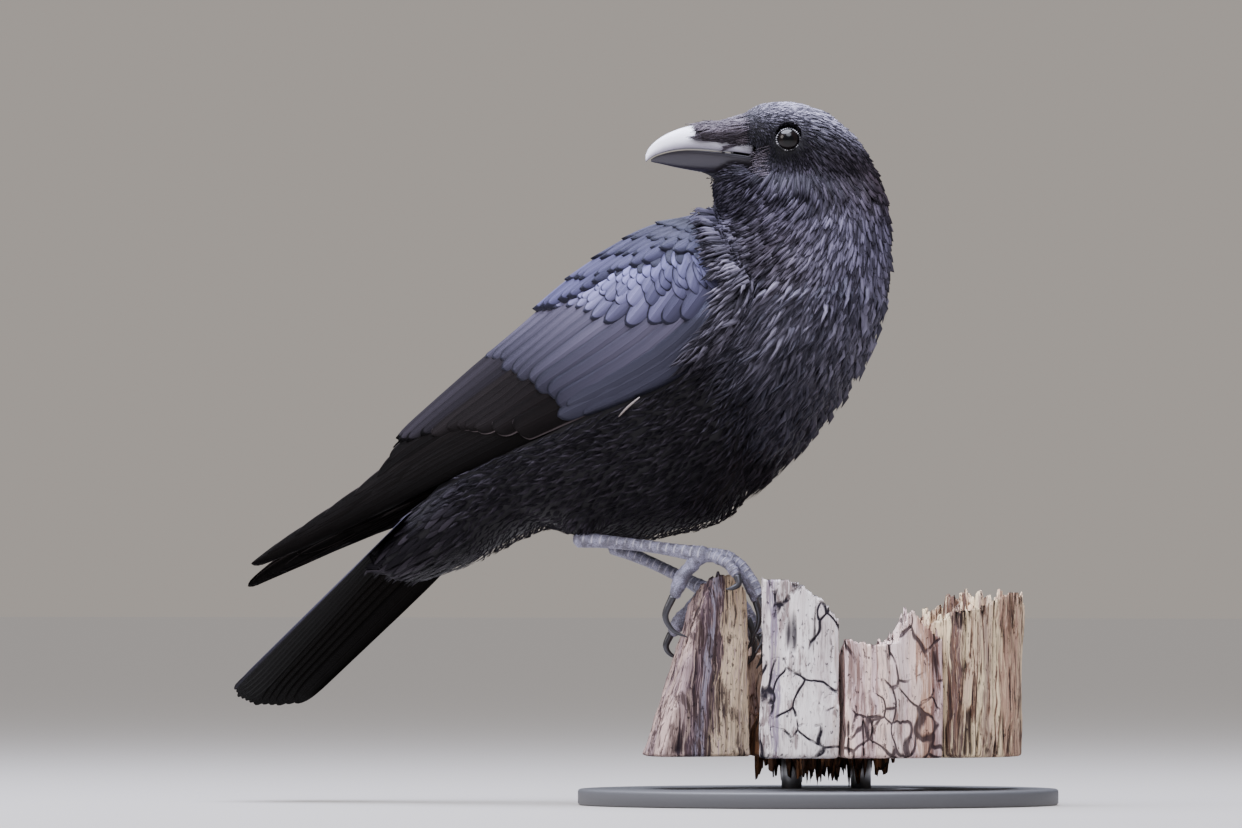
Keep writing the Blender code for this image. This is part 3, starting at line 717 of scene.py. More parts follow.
def underWing(points, outs):
    # 1 where a wing lies close over the skin
    covered = np.zeros(len(points))
    for i, (place, out) in enumerate(zip(points, outs)):
        if not wingCover["lowest"] <= place[2] <= wingCover["highest"]:
            continue
        reach = wingCover["frontReach" if place[0] < wingCover["front"] else "reach"]
        for tree in wingTrees:
            if tree.ray_cast(Vector(place), Vector(out), reach)[0] is not None:
                covered[i] = 1
    return covered


def zones(points, outs):
    f, _, u = headPlaces(points).T
    x, y, z = birdPlaces(points).T
    onHeadShare = headShare(points)
    openEye = ease(eyeGapOf(headPlaces(points)), 6.6, 7.4)
    wingGone = 1 - underWing(points, outs)
    bristly = ((f > 21) & (u > -6)) * 1.0
    gape = ease(f, 13, 16) * ease(u, -20, -18.5) * ease(u, -3, -5.5)
    face = onHeadShare * ease(f, -16, -6) * openEye
    ear = onHeadShare * (1 - ease(f, -16, -8)) * openEye
    neck = (1 - onHeadShare) * ease(z, 246, 262) * ease(x, 16, 30) * wingGone
    frontOfNeck = ease(f + 0.25 * u, -22, -8)
    throat = np.maximum(neck * frontOfNeck, (u < -17.5) * onHeadShare * ease(f, 42, 32))
    low = (1 - onHeadShare) * (1 - ease(z, 250, 262))
    front = ease(x, 22, 44) * ease(z, 170, 190)
    between = np.interp(x, (-141, -91, -42, -14, 20, 32), (7, 11, 16, 19, 26, 38))
    back = (1 - onHeadShare) * ease(outs[:, 2], -0.1, 0.25) * ease(x, 32, 20)
    back *= ease(z, 118, 126) * ease(np.abs(y), between + 2, between - 2)
    thigh = (z < 160) * (np.abs(x + 48) < 22) * (np.abs(y) > 12) * ease(z, 152, 142)
    belly = low * (1 - front) * (1 - back) * (1 - thigh)
    ahead = 1 - ease(x, -112, -126)  # of the tail coverts
    return {"face": face * (1 - gape), "ear": ear, "nape": neck * (1 - frontOfNeck),
            "throat": throat * (1 - bristly) * (1 - gape), "mantle": back * ahead * wingGone,
            "breast": low * front * wingGone, "belly": belly * ahead * wingGone,
            "tailCoverts": low * ease(x, -104, -122) * wingGone, "thigh": thigh * wingGone}


zoneMasks = zones(skinPoints, skinOuts)


# Feather shapes of the coat: a cupped vane of unit length along +X, root at the origin

def vaneShape(name, form, seed):
    chance = random.Random(seed)
    points, lifts, uvs, faces = [], [], [], []
    wide, rows, columns, fray, cup = (form[key] for key in ("wide", "rows", "columns", "fray", "cup"))
    body = 1 - fray
    for i in range(rows + 1):
        a = (i / rows) ** 0.85
        grow = form["root"] + (1 - form["root"]) * math.sin(min(1, a / 0.62) * math.pi / 2)
        close = (1 - max(0, (a - 0.55) / 0.45) ** 2.4 * (1 - form["blunt"]))
        half = wide / 2 * grow * close
        for j in range(columns + 1):
            c = 2 * j / columns - 1
            bow = 0 if fray else (0.16 * wide * (1 - c * c) * a ** 3)
            points.append((a * body + bow, c * half, 0))
            lifts.append(a ** 0.8 * (1 - cup * c * c) + 0.05 * chance.uniform(-1, 1) * a)
            uvs.append((0.5 + c / 2, a * (0.9 if fray else 1)))
    for i in range(rows):
        for j in range(columns):
            k = i * (columns + 1) + j
            faces.append((k, k + columns + 1, k + columns + 2, k + 1))
    if fray:
        # the tip ends in single points, one to a column
        tipRow = rows * (columns + 1)
        for j in range(columns):
            c = 2 * (j + 0.5) / columns - 1
            centre = (points[tipRow + j][1] + points[tipRow + j + 1][1]) / 2
            reach = fray * (1.05 - 0.55 * c ** 2) * chance.uniform(0.6, 1.1)
            points.append((body + reach, centre * chance.uniform(0.75, 1.05), 0))
            lifts.append((1 - cup * c ** 2) * chance.uniform(0.85, 1.2))
            uvs.append((0.5 + c / 2, 1))
            faces.append((tipRow + j, len(points) - 1, tipRow + j + 1))
    mesh = meshOf(name, points, faces)
    mesh.polygons.foreach_set("use_smooth", [True] * len(mesh.polygons))
    setAttribute(mesh, "lift", "FLOAT", lifts)
    layer = mesh.uv_layers.new(name="vane")
    for loop in mesh.loops:
        layer.data[loop.index].uv = uvs[loop.vertex_index]
    return linked(name, mesh)


# The coat's tree: points on the skin, a vane on each, bent to lie along the skin

def coatTree(finish):
    tree = bpy.data.node_groups.new("coat", "GeometryNodeTree")
    tree.is_modifier = True

    def socket(name, kind, way="INPUT"):
        return tree.interface.new_socket(name, in_out=way, socket_type="NodeSocket" + kind)

    socket("Skin", "Geometry")
    names = {name: socket(name, "Float")
             for name in ("Spacing", "Length", "Depth", "Root depth", "Loose", "Turn", "Patch")}
    names["Seed"] = socket("Seed", "Int")
    names.update((name, socket(name, "Object")) for name in ("First", "Second", "Third", "Bed"))
    socket("Coat", "Geometry", "OUTPUT")
    g = Graph(tree)
    source = tree.nodes.new("NodeGroupInput")
    given = {s.name: Wire(g, s) for s in source.outputs if s.name}

    def named(name, kind="FLOAT"):
        return g.add("GeometryNodeInputNamedAttribute", {"Name": name}, data_type=kind)

    def chance(shift, low=0.0, high=1.0, kind="FLOAT"):
        first, output = (2, 1) if kind == "FLOAT" else (4, 2)  # the sockets of that kind
        return g.add("FunctionNodeRandomValue", {first: low, first + 1: high, "Seed": given["Seed"] + shift},
                     output, data_type=kind)

    def store(geometry, name, value, kind="FLOAT", domain="POINT"):
        return g.add("GeometryNodeStoreNamedAttribute", {"Geometry": geometry, "Name": name, "Value": value},
                     data_type=kind, domain=domain)

    def drop(geometry, *gone):
        for name in gone:
            geometry = g.add("GeometryNodeRemoveAttribute", {"Geometry": geometry, "Name": name})
        return geometry

    def shapeOf(name, whole=False):
        return g.add("GeometryNodeObjectInfo", {"Object": given[name], "As Instance": whole}, "Geometry",
                     transform_space="ORIGINAL")

    # roots, spaced by the zone's density, with what each feather needs to know later
    points = g.add("GeometryNodeDistributePointsOnFaces",
                   {"Mesh": given["Skin"], "Distance Min": given["Spacing"],
                    "Density Max": g.maths("DIVIDE", 1.6, given["Spacing"] * given["Spacing"]),
                    "Density Factor": named("zone"), "Seed": given["Seed"]}, distribute_method="POISSON")
    points = store(points, "rootPlace", named("OFBake", "FLOAT_VECTOR"), "FLOAT_VECTOR")
    points = store(points, "shade", chance(3))
    points = store(points, "long", named("reach") * given["Length"] * chance(5, 0.82, 1.18))
    points = store(points, "loose", chance(7) ** 5 * given["Loose"])
    points = drop(points, "OFBake")
    # each feather stands along the skin's normal, turned to its lie, and swings a little
    upright = g.add("FunctionNodeAlignRotationToVector", {"Vector": named("outward", "FLOAT_VECTOR")},
                    axis="Z")
    turned = g.add("FunctionNodeAlignRotationToVector",
                   {"Rotation": upright, "Vector": named("lie", "FLOAT_VECTOR")}, axis="X", pivot_axis="Z")
    swing = g.add("ShaderNodeCombineXYZ", {2: (chance(11) - 0.5) * 2 * given["Turn"]})
    swung = g.add("FunctionNodeRotateRotation",
                  {"Rotation": turned, "Rotate By": g.add("FunctionNodeEulerToRotation", {0: swing})},
                  rotation_space="LOCAL")
    shapes = tree.nodes.new("GeometryNodeJoinGeometry")
    for name in ("Third", "Second", "First"):
        tree.links.new(shapeOf(name, True).socket, shapes.inputs[0])
    broad = named("long") / g.maths("MAXIMUM", named("reach"), 1.0)  # longer ones are no wider
    size = g.add("ShaderNodeCombineXYZ", {0: named("long"), 1: broad, 2: named("long")})
    placed = g.add("GeometryNodeInstanceOnPoints",
                   {"Points": points, "Instance": Wire(g, shapes.outputs[0]), "Pick Instance": True,
                    "Instance Index": chance(13, 0, 2, "INT"), "Rotation": swung, "Scale": size})
    vanes = g.add("GeometryNodeRealizeInstances", {"Geometry": placed})
    # every vane is bent down to lie on the bed
    spot = g.add("GeometryNodeInputPosition")
    under = shapeOf("Bed")
    close = g.add("GeometryNodeProximity", {0: under, "Sample Position": spot}, target_element="FACES")
    outNormal = g.add("GeometryNodeSampleNearestSurface",
                      {"Mesh": under, "Value": named("outward", "FLOAT_VECTOR"), "Sample Position": spot},
                      data_type="FLOAT_VECTOR")
    lift = named("lift")
    height = (given["Root depth"] + lift * given["Depth"] + lift * lift * named("loose") * named("long")
              + lift * (named("shade") - 0.5) * 0.25 * given["Depth"])
    bent = g.add("GeometryNodeSetPosition",
                 {"Geometry": vanes, "Position": g.vector("ADD", close, g.scaled(outNormal, height))})
    patch = g.vector("SUBTRACT", named("vane", "FLOAT_VECTOR"), (0.5, 0.5, 0))
    patch = g.vector("ADD", named("rootPlace", "FLOAT_VECTOR"), g.scaled(patch, given["Patch"]))
    laid = store(bent, "OFBake", patch, "FLOAT2", "CORNER")
    laid = drop(laid, "rootPlace", "lift", "outward", "lie", "loose", "long", "zone", "reach")
    done = g.add("GeometryNodeSetMaterial", {"Geometry": laid, "Material": finish})
    tree.links.new(done.socket, tree.nodes.new("NodeGroupOutput").inputs[0])
    return tree, names


patchSize = 0.003   # of one feather on the unwrap


def coatPiece(name, zone, reach, form, finish, ground=None):
    # copy of the skin, or of the ground given, with the zone's density, turned into vanes
    mesh = (ground or skin.data).copy()
    setAttribute(mesh, "zone", "FLOAT", zone)
    setAttribute(mesh, "reach", "FLOAT", reach)
    item = linked(name, mesh)
    tree, names = coatTree(finish)
    modifier = item.modifiers.new("coat", "NODES")
    modifier.node_group = tree
    shapes = [vaneShape(name + "Vane%d" % i, form, i) for i in range(3)]
    sparse = 1.0
    values = {"Spacing": form["spacing"] * mm * sparse, "Length": form["length"] * mm,
              "Depth": form["depth"] * mm, "Root depth": form["rootDepth"] * mm,
              "Loose": form["loose"], "Turn": math.radians(form["turn"]), "Seed": form["seed"],
              "First": shapes[0], "Second": shapes[1], "Third": shapes[2], "Patch": patchSize,
              "Bed": bed}
    for key, value in values.items():
        modifier[names[key].identifier] = value
    made = plainMesh(item)
    for shape in shapes:
        bpy.data.objects.remove(shape)
    made.calc_loop_triangles()
    print(name, "made:", len(made.loop_triangles), "triangles")
    return piece(name, made, finish)


def coatForm(**form):
    # lengths in millimetres; widths, fray and cup are shares of the feather's length or width
    return {"rows": 4, "columns": 2, "fray": 0.0, "cup": 0.3, "root": 0.35, "rootDepth": 0.4, "loose": 0.0,
            "blunt": 0.5, **form}


coatForms = {
    "coatFace": coatForm(zone="face", finish=faceFinish, length=3.6, wide=0.28, rows=2, cup=0.2, root=0.4,
                         spacing=0.72, depth=0.55, rootDepth=0.1, loose=0.08, turn=12, seed=1, blunt=0.1),
    "coatEar": coatForm(zone="ear", finish=headFinish, length=7.5, wide=0.16, rows=3, cup=0.25,
                        spacing=0.85, depth=1.2, rootDepth=0.2, loose=0.14, turn=12, seed=2, blunt=0.05),
    "coatNape": coatForm(zone="nape", finish=napeFinish, length=12, wide=0.16, spacing=1.25, depth=1.8,
                         loose=0.16, turn=13, seed=3, blunt=0.05),
    "coatThroat": coatForm(zone="throat", finish=headFinish, length=13, wide=0.14, cup=0.4, root=0.4,
                           spacing=1.15, depth=2.0, rootDepth=0.3, loose=0.22, turn=13, seed=4, blunt=0.05),
    "coatMantle": coatForm(zone="mantle", finish=bodyFinish, length=22, wide=0.5, rows=5, columns=4,
                           cup=0.35, spacing=4.2, depth=2.4, rootDepth=0.6, turn=6, seed=5, blunt=0.55),
    "coatBreast": coatForm(zone="breast", finish=bodyFinish, length=18, wide=0.17, columns=3, fray=0.6,
                           root=0.3, spacing=1.6, depth=2.4, loose=0.2, turn=18, seed=6),
    "coatBelly": coatForm(zone="belly", finish=lowerFinish, length=20, wide=0.2, columns=4, fray=0.65,
                          cup=0.2, root=0.3, spacing=2.1, depth=1.9, rootDepth=0.3, loose=0.12, turn=18,
                          seed=7),
    "coatTailCoverts": coatForm(zone="tailCoverts", finish=lowerFinish, length=36, wide=0.2, rows=8,
                                columns=3, cup=0.15, root=0.4, spacing=3.3, depth=1.3, turn=6, seed=9,
                                blunt=0.3),
    "coatThigh": coatForm(zone="thigh", finish=lowerFinish, length=12, wide=0.24, rows=3, columns=4,
                          fray=0.6, cup=0.2, spacing=2.0, depth=1.5, rootDepth=0.3, loose=0.15, turn=16,
                          seed=8),
}


def reachOf(points, outs):
    # how long the feathers are: shorter close to the eyes, the bill and the ends of the legs, longer
    # beside and over the front of the wings and over the ankles
    head, (x, y, z) = headPlaces(points), birdPlaces(points).T
    rear = 1 + 0.6 * ease(-x, 120, 150)
    onBody = 1 - headShare(points)
    besideWing = ease(x, 30, 40) * ease(x, 74, 60) * ease(np.abs(y), 22, 32) * ease(z, 196, 212)
    rear *= 1 + 0.5 * besideWing * onBody * ease(z, 285, 268)
    overWing = ease(x, 12, 22) * ease(x, 58, 46) * ease(np.abs(y), 8, 16) * ease(z, 256, 264)
    rear *= 1 + 0.6 * overWing * onBody * ease(z, 304, 296)
    rear *= 1 - 0.6 * ease(outs[:, 2], 0.0, 0.4) * ease(x, -112, -126)
    near = (0.35 + 0.65 * ease(eyeGapOf(head), 6, 14)) * rear
    bill = 0.45 + 0.55 * ease(head[:, 0], 22, 4)
    short = np.where(np.abs(x + 48) < 22, 1.3, 0.6)
    leg = short + (1 - short) * ease(z, 132, 152)
    return near * bill * np.where(z < 160, leg, 1)


def gapTo(points, line):
    # distance to a line of places
    gap = np.full(len(points), 1e9)
    for a, b in zip(np.array(line[:-1], float), np.array(line[1:], float)):
        share = np.clip(((points - a) @ (b - a)) / ((b - a) @ (b - a)), 0, 1)
        gap = np.minimum(gap, np.linalg.norm(points - a - share[:, None] * (b - a), axis=1))
    return gap


# Breast feathers over the front of the wings, rooted on the smooth surface under the coat

shoulderForm = coatForm(length=16, wide=0.14, rows=5, columns=3, fray=0.5, root=0.3, spacing=1.5,
                        depth=3.4, rootDepth=0.2, loose=0.05, turn=16, seed=10,
                        front=[(27, 27, 282), (36, 36, 271), (49, 47, 251), (41, 52, 234), (30, 54, 219)])


def shoulderCoat():
    mesh = bed.data
    points, outs = dressSkin(mesh)
    x, y, z = birdPlaces(points).T
    gap = gapTo(np.stack([x, np.abs(y), z], axis=1), shoulderForm["front"])
    zone = ease(gap, 10, 6) * (1 - headShare(points)) * ease(outs[:, 2], -0.75, -0.5)
    # every face takes the place of the nearest face of the skin on its unwrap
    tree = treeOf(skin.data)
    source = skin.data.uv_layers["OFBake"].data
    target = mesh.uv_layers.new(name="OFBake").data
    for face in mesh.polygons:
        if max(zone[index] for index in face.vertices) > 0:
            nearest = skin.data.polygons[tree.find_nearest(face.center)[2]]
            for loop in face.loop_indices:
                target[loop].uv = source[nearest.loop_start].uv
    coatPiece("coatShoulder", zone, np.ones(len(points)), shoulderForm, lowerFinish, mesh)


skinReach = reachOf(skinPoints, skinOuts)
for name, form in coatForms.items():
    coatPiece(name, zoneMasks[form["zone"]], skinReach, form, form["finish"])
shoulderCoat()


# Large feathers of wings and tail, each a thin closed vane laid along a surface

class Surface:
    # rows of places with outward directions; s runs along it and v across it, both 0 to 1
    def __init__(self, places, outs):
        self.places = places
        self.outs = outs

    def pick(self, grid, s, v):
        rows, columns = len(grid) - 1, len(grid[0]) - 1
        x = max(0.0, min(1.0, s)) * rows
        y = max(0.0, min(1.0, v)) * columns
        i, j = min(int(x), rows - 1), min(int(y), columns - 1)
        a, b = x - i, y - j
        return ((grid[i][j] * (1 - b) + grid[i][j + 1] * b) * (1 - a)
                + (grid[i + 1][j] * (1 - b) + grid[i + 1][j + 1] * b) * a)

    def at(self, s, v, lift=0.0):
        place = self.pick(self.places, s, v)
        out = self.pick(self.outs, s, v).normalized()
        if s > 1 or s < 0:
            end = 1 if s > 1 else 0
            step = self.pick(self.places, end, v) - self.pick(self.places, end - 0.04 if end else 0.04, v)
            place = place + step * (abs(s - end) / 0.04)
        return place + out * lift

    def chord(self, s):
        return (self.pick(self.places, s, 1) - self.pick(self.places, s, 0)).length


def smoothed(grid, rounds):
    for _ in range(rounds):
        fresh = [list(row) for row in grid]
        for i in range(1, len(grid) - 1):
            for j in range(len(grid[0])):
                beside = [grid[i - 1][j], grid[i + 1][j]]
                if 0 < j < len(grid[0]) - 1:
                    beside += [grid[i][j - 1], grid[i][j + 1]]
                fresh[i][j] = grid[i][j] * 0.5 + sum(beside, Vector()) * (0.5 / len(beside))
        grid = fresh
    return grid


# The folded wing's edges from the shoulder to the tip: ahead, out from the middle and up
wingForm = {
    "upperEdge": [(20, 20, 290), (-14, 15, 286), (-42, 12, 273), (-67, 10, 258), (-91, 7, 240),
                  (-115, 5, 223), (-141, 3, 204), (-169, 2, 182), (-179, 5, 168), (-203, 6, 150),
                  (-227, 6, 135), (-249, 7, 120)],
    "lowerEdge": [(50, 49, 252), (38, 52, 228), (18, 54, 211), (-10, 54, 199), (-42, 51, 189),
                  (-70, 46, 180), (-100, 39, 171), (-132, 29, 160), (-154, 22, 152), (-191, 13, 138),
                  (-222, 9, 126), (-248, 8, 117.5)],
    "farTipShift": (-9, 0, -11),
    "rows": 66, "columns": 14,
    "inside": 2.2 * mm,       # the vanes start this far inside the solid's outer face
    "inset": 0.012,           # kept free along the edges, as a share of the width
    "step": 0.04,             # over which the run of the edges is taken
    "castFrom": 50 * mm, "castReach": 80 * mm,
    "thick": 0.5 * mm,
}


def wingSurface(node, side, shift):
    tree = treeOf(nodeMesh(node))
    edges = []
    for key in ("upperEdge", "lowerEdge"):
        row = [at(x, side * out, z) for x, out, z in wingForm[key]]
        row = [p + Vector(shift) * mm * (i / (len(row) - 1)) ** 2 for i, p in enumerate(row)]
        edges.append(catmull(row, 6))
    places, outs = [], []
    step, inset = wingForm["step"], wingForm["inset"]
    for i in range(wingForm["rows"] + 1):
        s = i / wingForm["rows"]
        top, low = along(edges[0], s), along(edges[1], s)
        run = sum((along(edge, s + step) - along(edge, s - step) for edge in edges), Vector())
        out = (top - low).cross(run).normalized()
        if out.y * side < 0:
            out = -out
        row = []
        for j in range(wingForm["columns"] + 1):
            place = low.lerp(top, inset + (1 - 2 * inset) * j / wingForm["columns"])
            hit = tree.ray_cast(place + out * wingForm["castFrom"], -out, wingForm["castReach"])[0]
            row.append(hit if hit is not None else place)
        places.append(row)
        outs.append([out] * len(row))
    return Surface(smoothed(places, 2), smoothed(outs, 2))


def vaneRows(start):
    # places along a vane, closer together where the tip is rounded
    rows = [start * k / 6 for k in range(6)]
    return rows + [start + (1 - start) * math.sin(math.pi / 2 * k / 7) for k in range(8)]


def vaneTip(a, start, point):
    # width along a vane, rounded to its tip; a higher point makes the tip blunter
    if a <= start:
        return 1.0
    return max(0.0, 1 - ((a - start) / (1 - start)) ** point) ** (1 / point)


def layVane(surface, vane, store):
    # vane: (s, v) of the root and the tip, width in metres, lifts and shape
    (s0, v0), (s1, v1) = vane["root"], vane["tip"]
    start, point, fade = vane["tipStart"], vane["point"], vane["fade"]
    rootWide = vane.get("rootWide", 0.7)
    columns = 6
    points, faces = [], []
    steps = vaneRows(start)
    for face in (1, -1):
        # a vane's upper face may carry a tint of its own; on the tail that is a painted highlight
        tint = vane.get("topTint", vane["tint"]) if face > 0 else vane["tint"]
        for a in steps:
            s, v = s0 + (s1 - s0) * a, v0 + (v1 - v0) * a
            narrow, onward = vaneTip(a, start, point), max(0.0, (a - start) / (1 - start))
            half = vane["wide"] / 2 * narrow
            half *= rootWide + (1 - rootWide) * min(1, a / 0.35)
            chord = max(surface.chord(min(1, s)), 1e-4)
            for j in range(columns + 1):
                c = 2 * j / columns - 1
                place = v + c * half / chord
                over = max(0.0, place - 1) + max(0.0, -place)
                lift = vane["lift"] + (vane["tipLift"] - vane["lift"]) * a ** 1.2
                lift += vane["tilt"] * c * (0.3 + 0.7 * a)
                lift += face * vane["thick"] / 2 * (1 - c * c * 0.7) - over * chord * 0.35
                lift -= vane["camber"] * c * c
                points.append(surface.at(s, max(0.0, min(1.0, place)), lift))
                store["uvs"].append((0.5 + c / 2, a))
                store["outlines"].append(((abs(c) * narrow) ** point + onward ** point) ** (1 / point))
                shown = vane["edgeTint"] if c < -0.2 and "edgeTint" in vane else tint
                store["tints"].append(tuple(value * (1 - fade * a) for value in shown))
    rows, across = len(steps), columns + 1
    under = rows * across
    for first in (0, under):
        for i in range(rows - 1):
            for j in range(columns):
                k = first + i * across + j
                quad = (k, k + 1, k + across + 1, k + across)
                faces.append(quad if first else quad[::-1])
    for i in range(rows - 1):
        for j in (0, columns):
            k = i * across + j
            quad = (k, k + across, k + under + across, k + under)
            faces.append(quad if j == 0 else quad[::-1])
    for i in (0, rows - 1):
        for j in range(columns):
            k = i * across + j
            quad = (k, k + under, k + under + 1, k + 1)
            faces.append(quad if i == 0 else quad[::-1])
    first = len(store["points"])
    store["points"] += points
    store["shades"] += [vane["shade"]] * len(points)
    store["rims"] += [vane["rim"]] * len(points)
    store["faces"] += [tuple(k + first for k in face) for face in faces]


def vaneMesh(name, store):
    mesh = meshOf(name, store["points"], store["faces"])
    work = bmesh.new()
    work.from_mesh(mesh)
    bmesh.ops.recalc_face_normals(work, faces=work.faces)
    work.to_mesh(mesh)
    work.free()
    index = np.empty(len(mesh.loops), int)
    mesh.loops.foreach_get("vertex_index", index)
    mesh.uv_layers.new(name="vane").data.foreach_set("uv", np.array(store["uvs"])[index].ravel())
    for key in ("shade", "rim", "outline"):
        setAttribute(mesh, key, "FLOAT", store[key + "s"])
    setAttribute(mesh, "tint", "FLOAT_COLOR", store["tints"])
    return mesh


def freshStore():
    return {key: [] for key in ("points", "uvs", "shades", "tints", "rims", "outlines", "faces")}


# Rows of wing feathers, lowest layer first: roots and tips run from the upper to the lower
# feather of a row as (s, v); lengths in millimetres
flightRows = [
    # primaries
    {"roots": ((0.30, 0.24), (0.34, 0.08)),
     "tips": [(0.69, 0.76), (0.735, 0.70), (0.785, 0.66), (0.84, 0.64), (0.90, 0.60), (0.96, 0.56),
              (1.0, 0.50), (0.99, 0.36), (0.93, 0.18), (0.80, 0.05)],
     "wide": 18, "lift": (-0.4, -1.8), "tipLift": (0.0, -1.5), "tilt": 0.5, "tipStart": 0.86, "point": 1.8,
     "shades": (0.3, 0.7), "tint": (0.0040, 0.0032, 0.0031), "rim": 1.0, "fade": 0.3},
    # secondaries
    {"roots": ((0.20, 0.62), (0.24, 0.10)),
     "tips": [(0.585, 0.56), (0.565, 0.50), (0.55, 0.44), (0.537, 0.37), (0.525, 0.30), (0.50, 0.20),
              (0.47, 0.10)],
     "wide": 15, "lift": (0.1, -0.6), "tipLift": (0.6, 0.1), "camber": 0.6, "tilt": 0.6, "tipStart": 0.9,
     "point": 2.4, "shades": (0.45, 0.8), "tint": (0.0060, 0.0048, 0.0050),
     "rim": 1.0},
    # tertials
    {"roots": ((0.14, 0.96), (0.17, 0.66)),
     "tips": [(0.642, 0.96), (0.638, 0.87), (0.625, 0.77), (0.60, 0.67)],
     "wide": 17, "lift": (0.9, 0.3), "tipLift": (1.3, 0.8), "camber": 0.8, "tilt": 0.6, "tipStart": 0.84,
     "point": 2.1, "shades": (0.5, 0.75), "tint": (0.0135, 0.0115, 0.0145), "rim": 0.88},
]
# the lilac tints of the greater and median coverts and of the scapulars are painted sheen over black
# feathers
covertRows = [
    # greater coverts
    {"roots": ((0.15, 0.97), (0.06, 0.22)),
     "tips": [(0.462, 0.97), (0.452, 0.88), (0.44, 0.78), (0.43, 0.68), (0.418, 0.58), (0.408, 0.48),
              (0.398, 0.38), (0.39, 0.285), (0.384, 0.19), (0.372, 0.105)],
     "wide": 13, "lift": (1.0, 0.3), "tipLift": (1.6, 1.0), "camber": 0.7, "tilt": 0.75, "tipStart": 0.9,
     "point": 2.6, "shades": (0.55, 0.9), "tint": (0.082, 0.072, 0.102), "rim": 0.86, "fade": 0.85},
    # primary coverts
    {"roots": ((0.07, 0.14), (0.05, 0.03)),
     "tips": [(0.36, 0.075), (0.385, 0.035), (0.35, 0.0), (0.27, -0.01)],
     "wide": 11, "lift": (0.9, 0.2), "tipLift": (1.1, 0.5), "tilt": 0.3, "camber": 0.7, "tipStart": 0.85,
     "point": 1.9, "shades": (0.35, 0.7), "tint": (0.026, 0.025, 0.034), "rim": 0.9},
    # median coverts
    {"roots": ((0.17, 0.95), (0.0, 0.28)),
     "tips": [(0.305, 0.86), (0.29, 0.77), (0.276, 0.685), (0.262, 0.60), (0.247, 0.51), (0.23, 0.425),
              (0.207, 0.345), (0.178, 0.285), (0.148, 0.24), (0.118, 0.195)],
     "wide": 13, "lift": (1.3, 0.6), "tipLift": (2.1, 1.6), "camber": 0.9, "tilt": 0.5, "tipStart": 0.7,
     "point": 2.0, "shades": (0.45, 1.0), "tint": (0.074, 0.069, 0.120), "rim": 0.84},
]
scapularRows = [
    # long scapulars
    {"roots": ((0.12, 1.0), (0.05, 0.86)),
     "tips": [(0.345, 1.0), (0.335, 0.95), (0.318, 0.90), (0.298, 0.855), (0.277, 0.815), (0.253, 0.785),
              (0.228, 0.76)],
     "wide": 17, "lift": (1.6, 1.8), "tipLift": (4.2, 4.6), "camber": 2.4, "tilt": 0.9, "tipStart": 0.74,
     "point": 2.0, "shades": (0.45, 0.9), "tint": (0.038, 0.036, 0.072), "rim": 0.80},
    # middle scapulars
    {"roots": ((0.06, 1.0), (0.0, 0.80)),
     "tips": [(0.28, 1.0), (0.262, 0.94), (0.243, 0.88), (0.22, 0.82), (0.197, 0.765), (0.173, 0.715),
              (0.148, 0.67), (0.122, 0.63)],
     "wide": 16, "lift": (1.4, 0.6), "tipLift": (4.9, 5.0), "camber": 2.2, "tilt": 0.8, "tipStart": 0.70,
     "point": 2.0, "shades": (0.45, 0.9), "tint": (0.034, 0.032, 0.062), "rim": 0.80},
    # short scapulars
    {"roots": ((0.0, 1.0), (0.0, 0.64)),
     "tips": [(0.215, 1.0), (0.198, 0.94), (0.178, 0.88), (0.157, 0.82), (0.134, 0.76), (0.111, 0.70),
              (0.088, 0.64), (0.065, 0.57), (0.04, 0.49)],
     "wide": 11, "lift": (0.6, -1.2), "tipLift": (5.4, 4.8), "camber": 1.7, "tilt": 0.9, "tipStart": 0.62,
     "point": 2.2, "shades": (0.45, 1.0), "tint": (0.022, 0.021, 0.038), "rim": 0.78},
    # front scapulars
    {"roots": ((0.0, 1.0), (0.0, 0.66)),
     "tips": [(0.15, 1.0), (0.135, 0.94), (0.118, 0.87), (0.10, 0.80), (0.08, 0.73), (0.06, 0.66),
              (0.04, 0.59), (0.022, 0.52)],
     "wide": 12, "lift": (-0.8, -1.8), "tipLift": (5.2, 4.0), "camber": 1.2, "tilt": 0.3, "tipStart": 0.6,
     "point": 2.2, "shades": (0.35, 0.9), "tint": (0.014, 0.013, 0.022), "rim": 0.78},
    # uppermost scapulars
    {"roots": ((0.0, 1.0), (0.0, 0.74)),
     "tips": [(0.095, 1.0), (0.083, 0.94), (0.07, 0.87), (0.056, 0.80), (0.042, 0.73), (0.028, 0.66),
              (0.015, 0.59)],
     "wide": 12, "lift": (-1.6, -2.2), "tipLift": (4.4, 3.2), "camber": 1.0, "tilt": 0.2, "tipStart": 0.6,
     "point": 2.0, "shades": (0.3, 0.8), "tint": (0.010, 0.010, 0.015), "rim": 0.78},
]


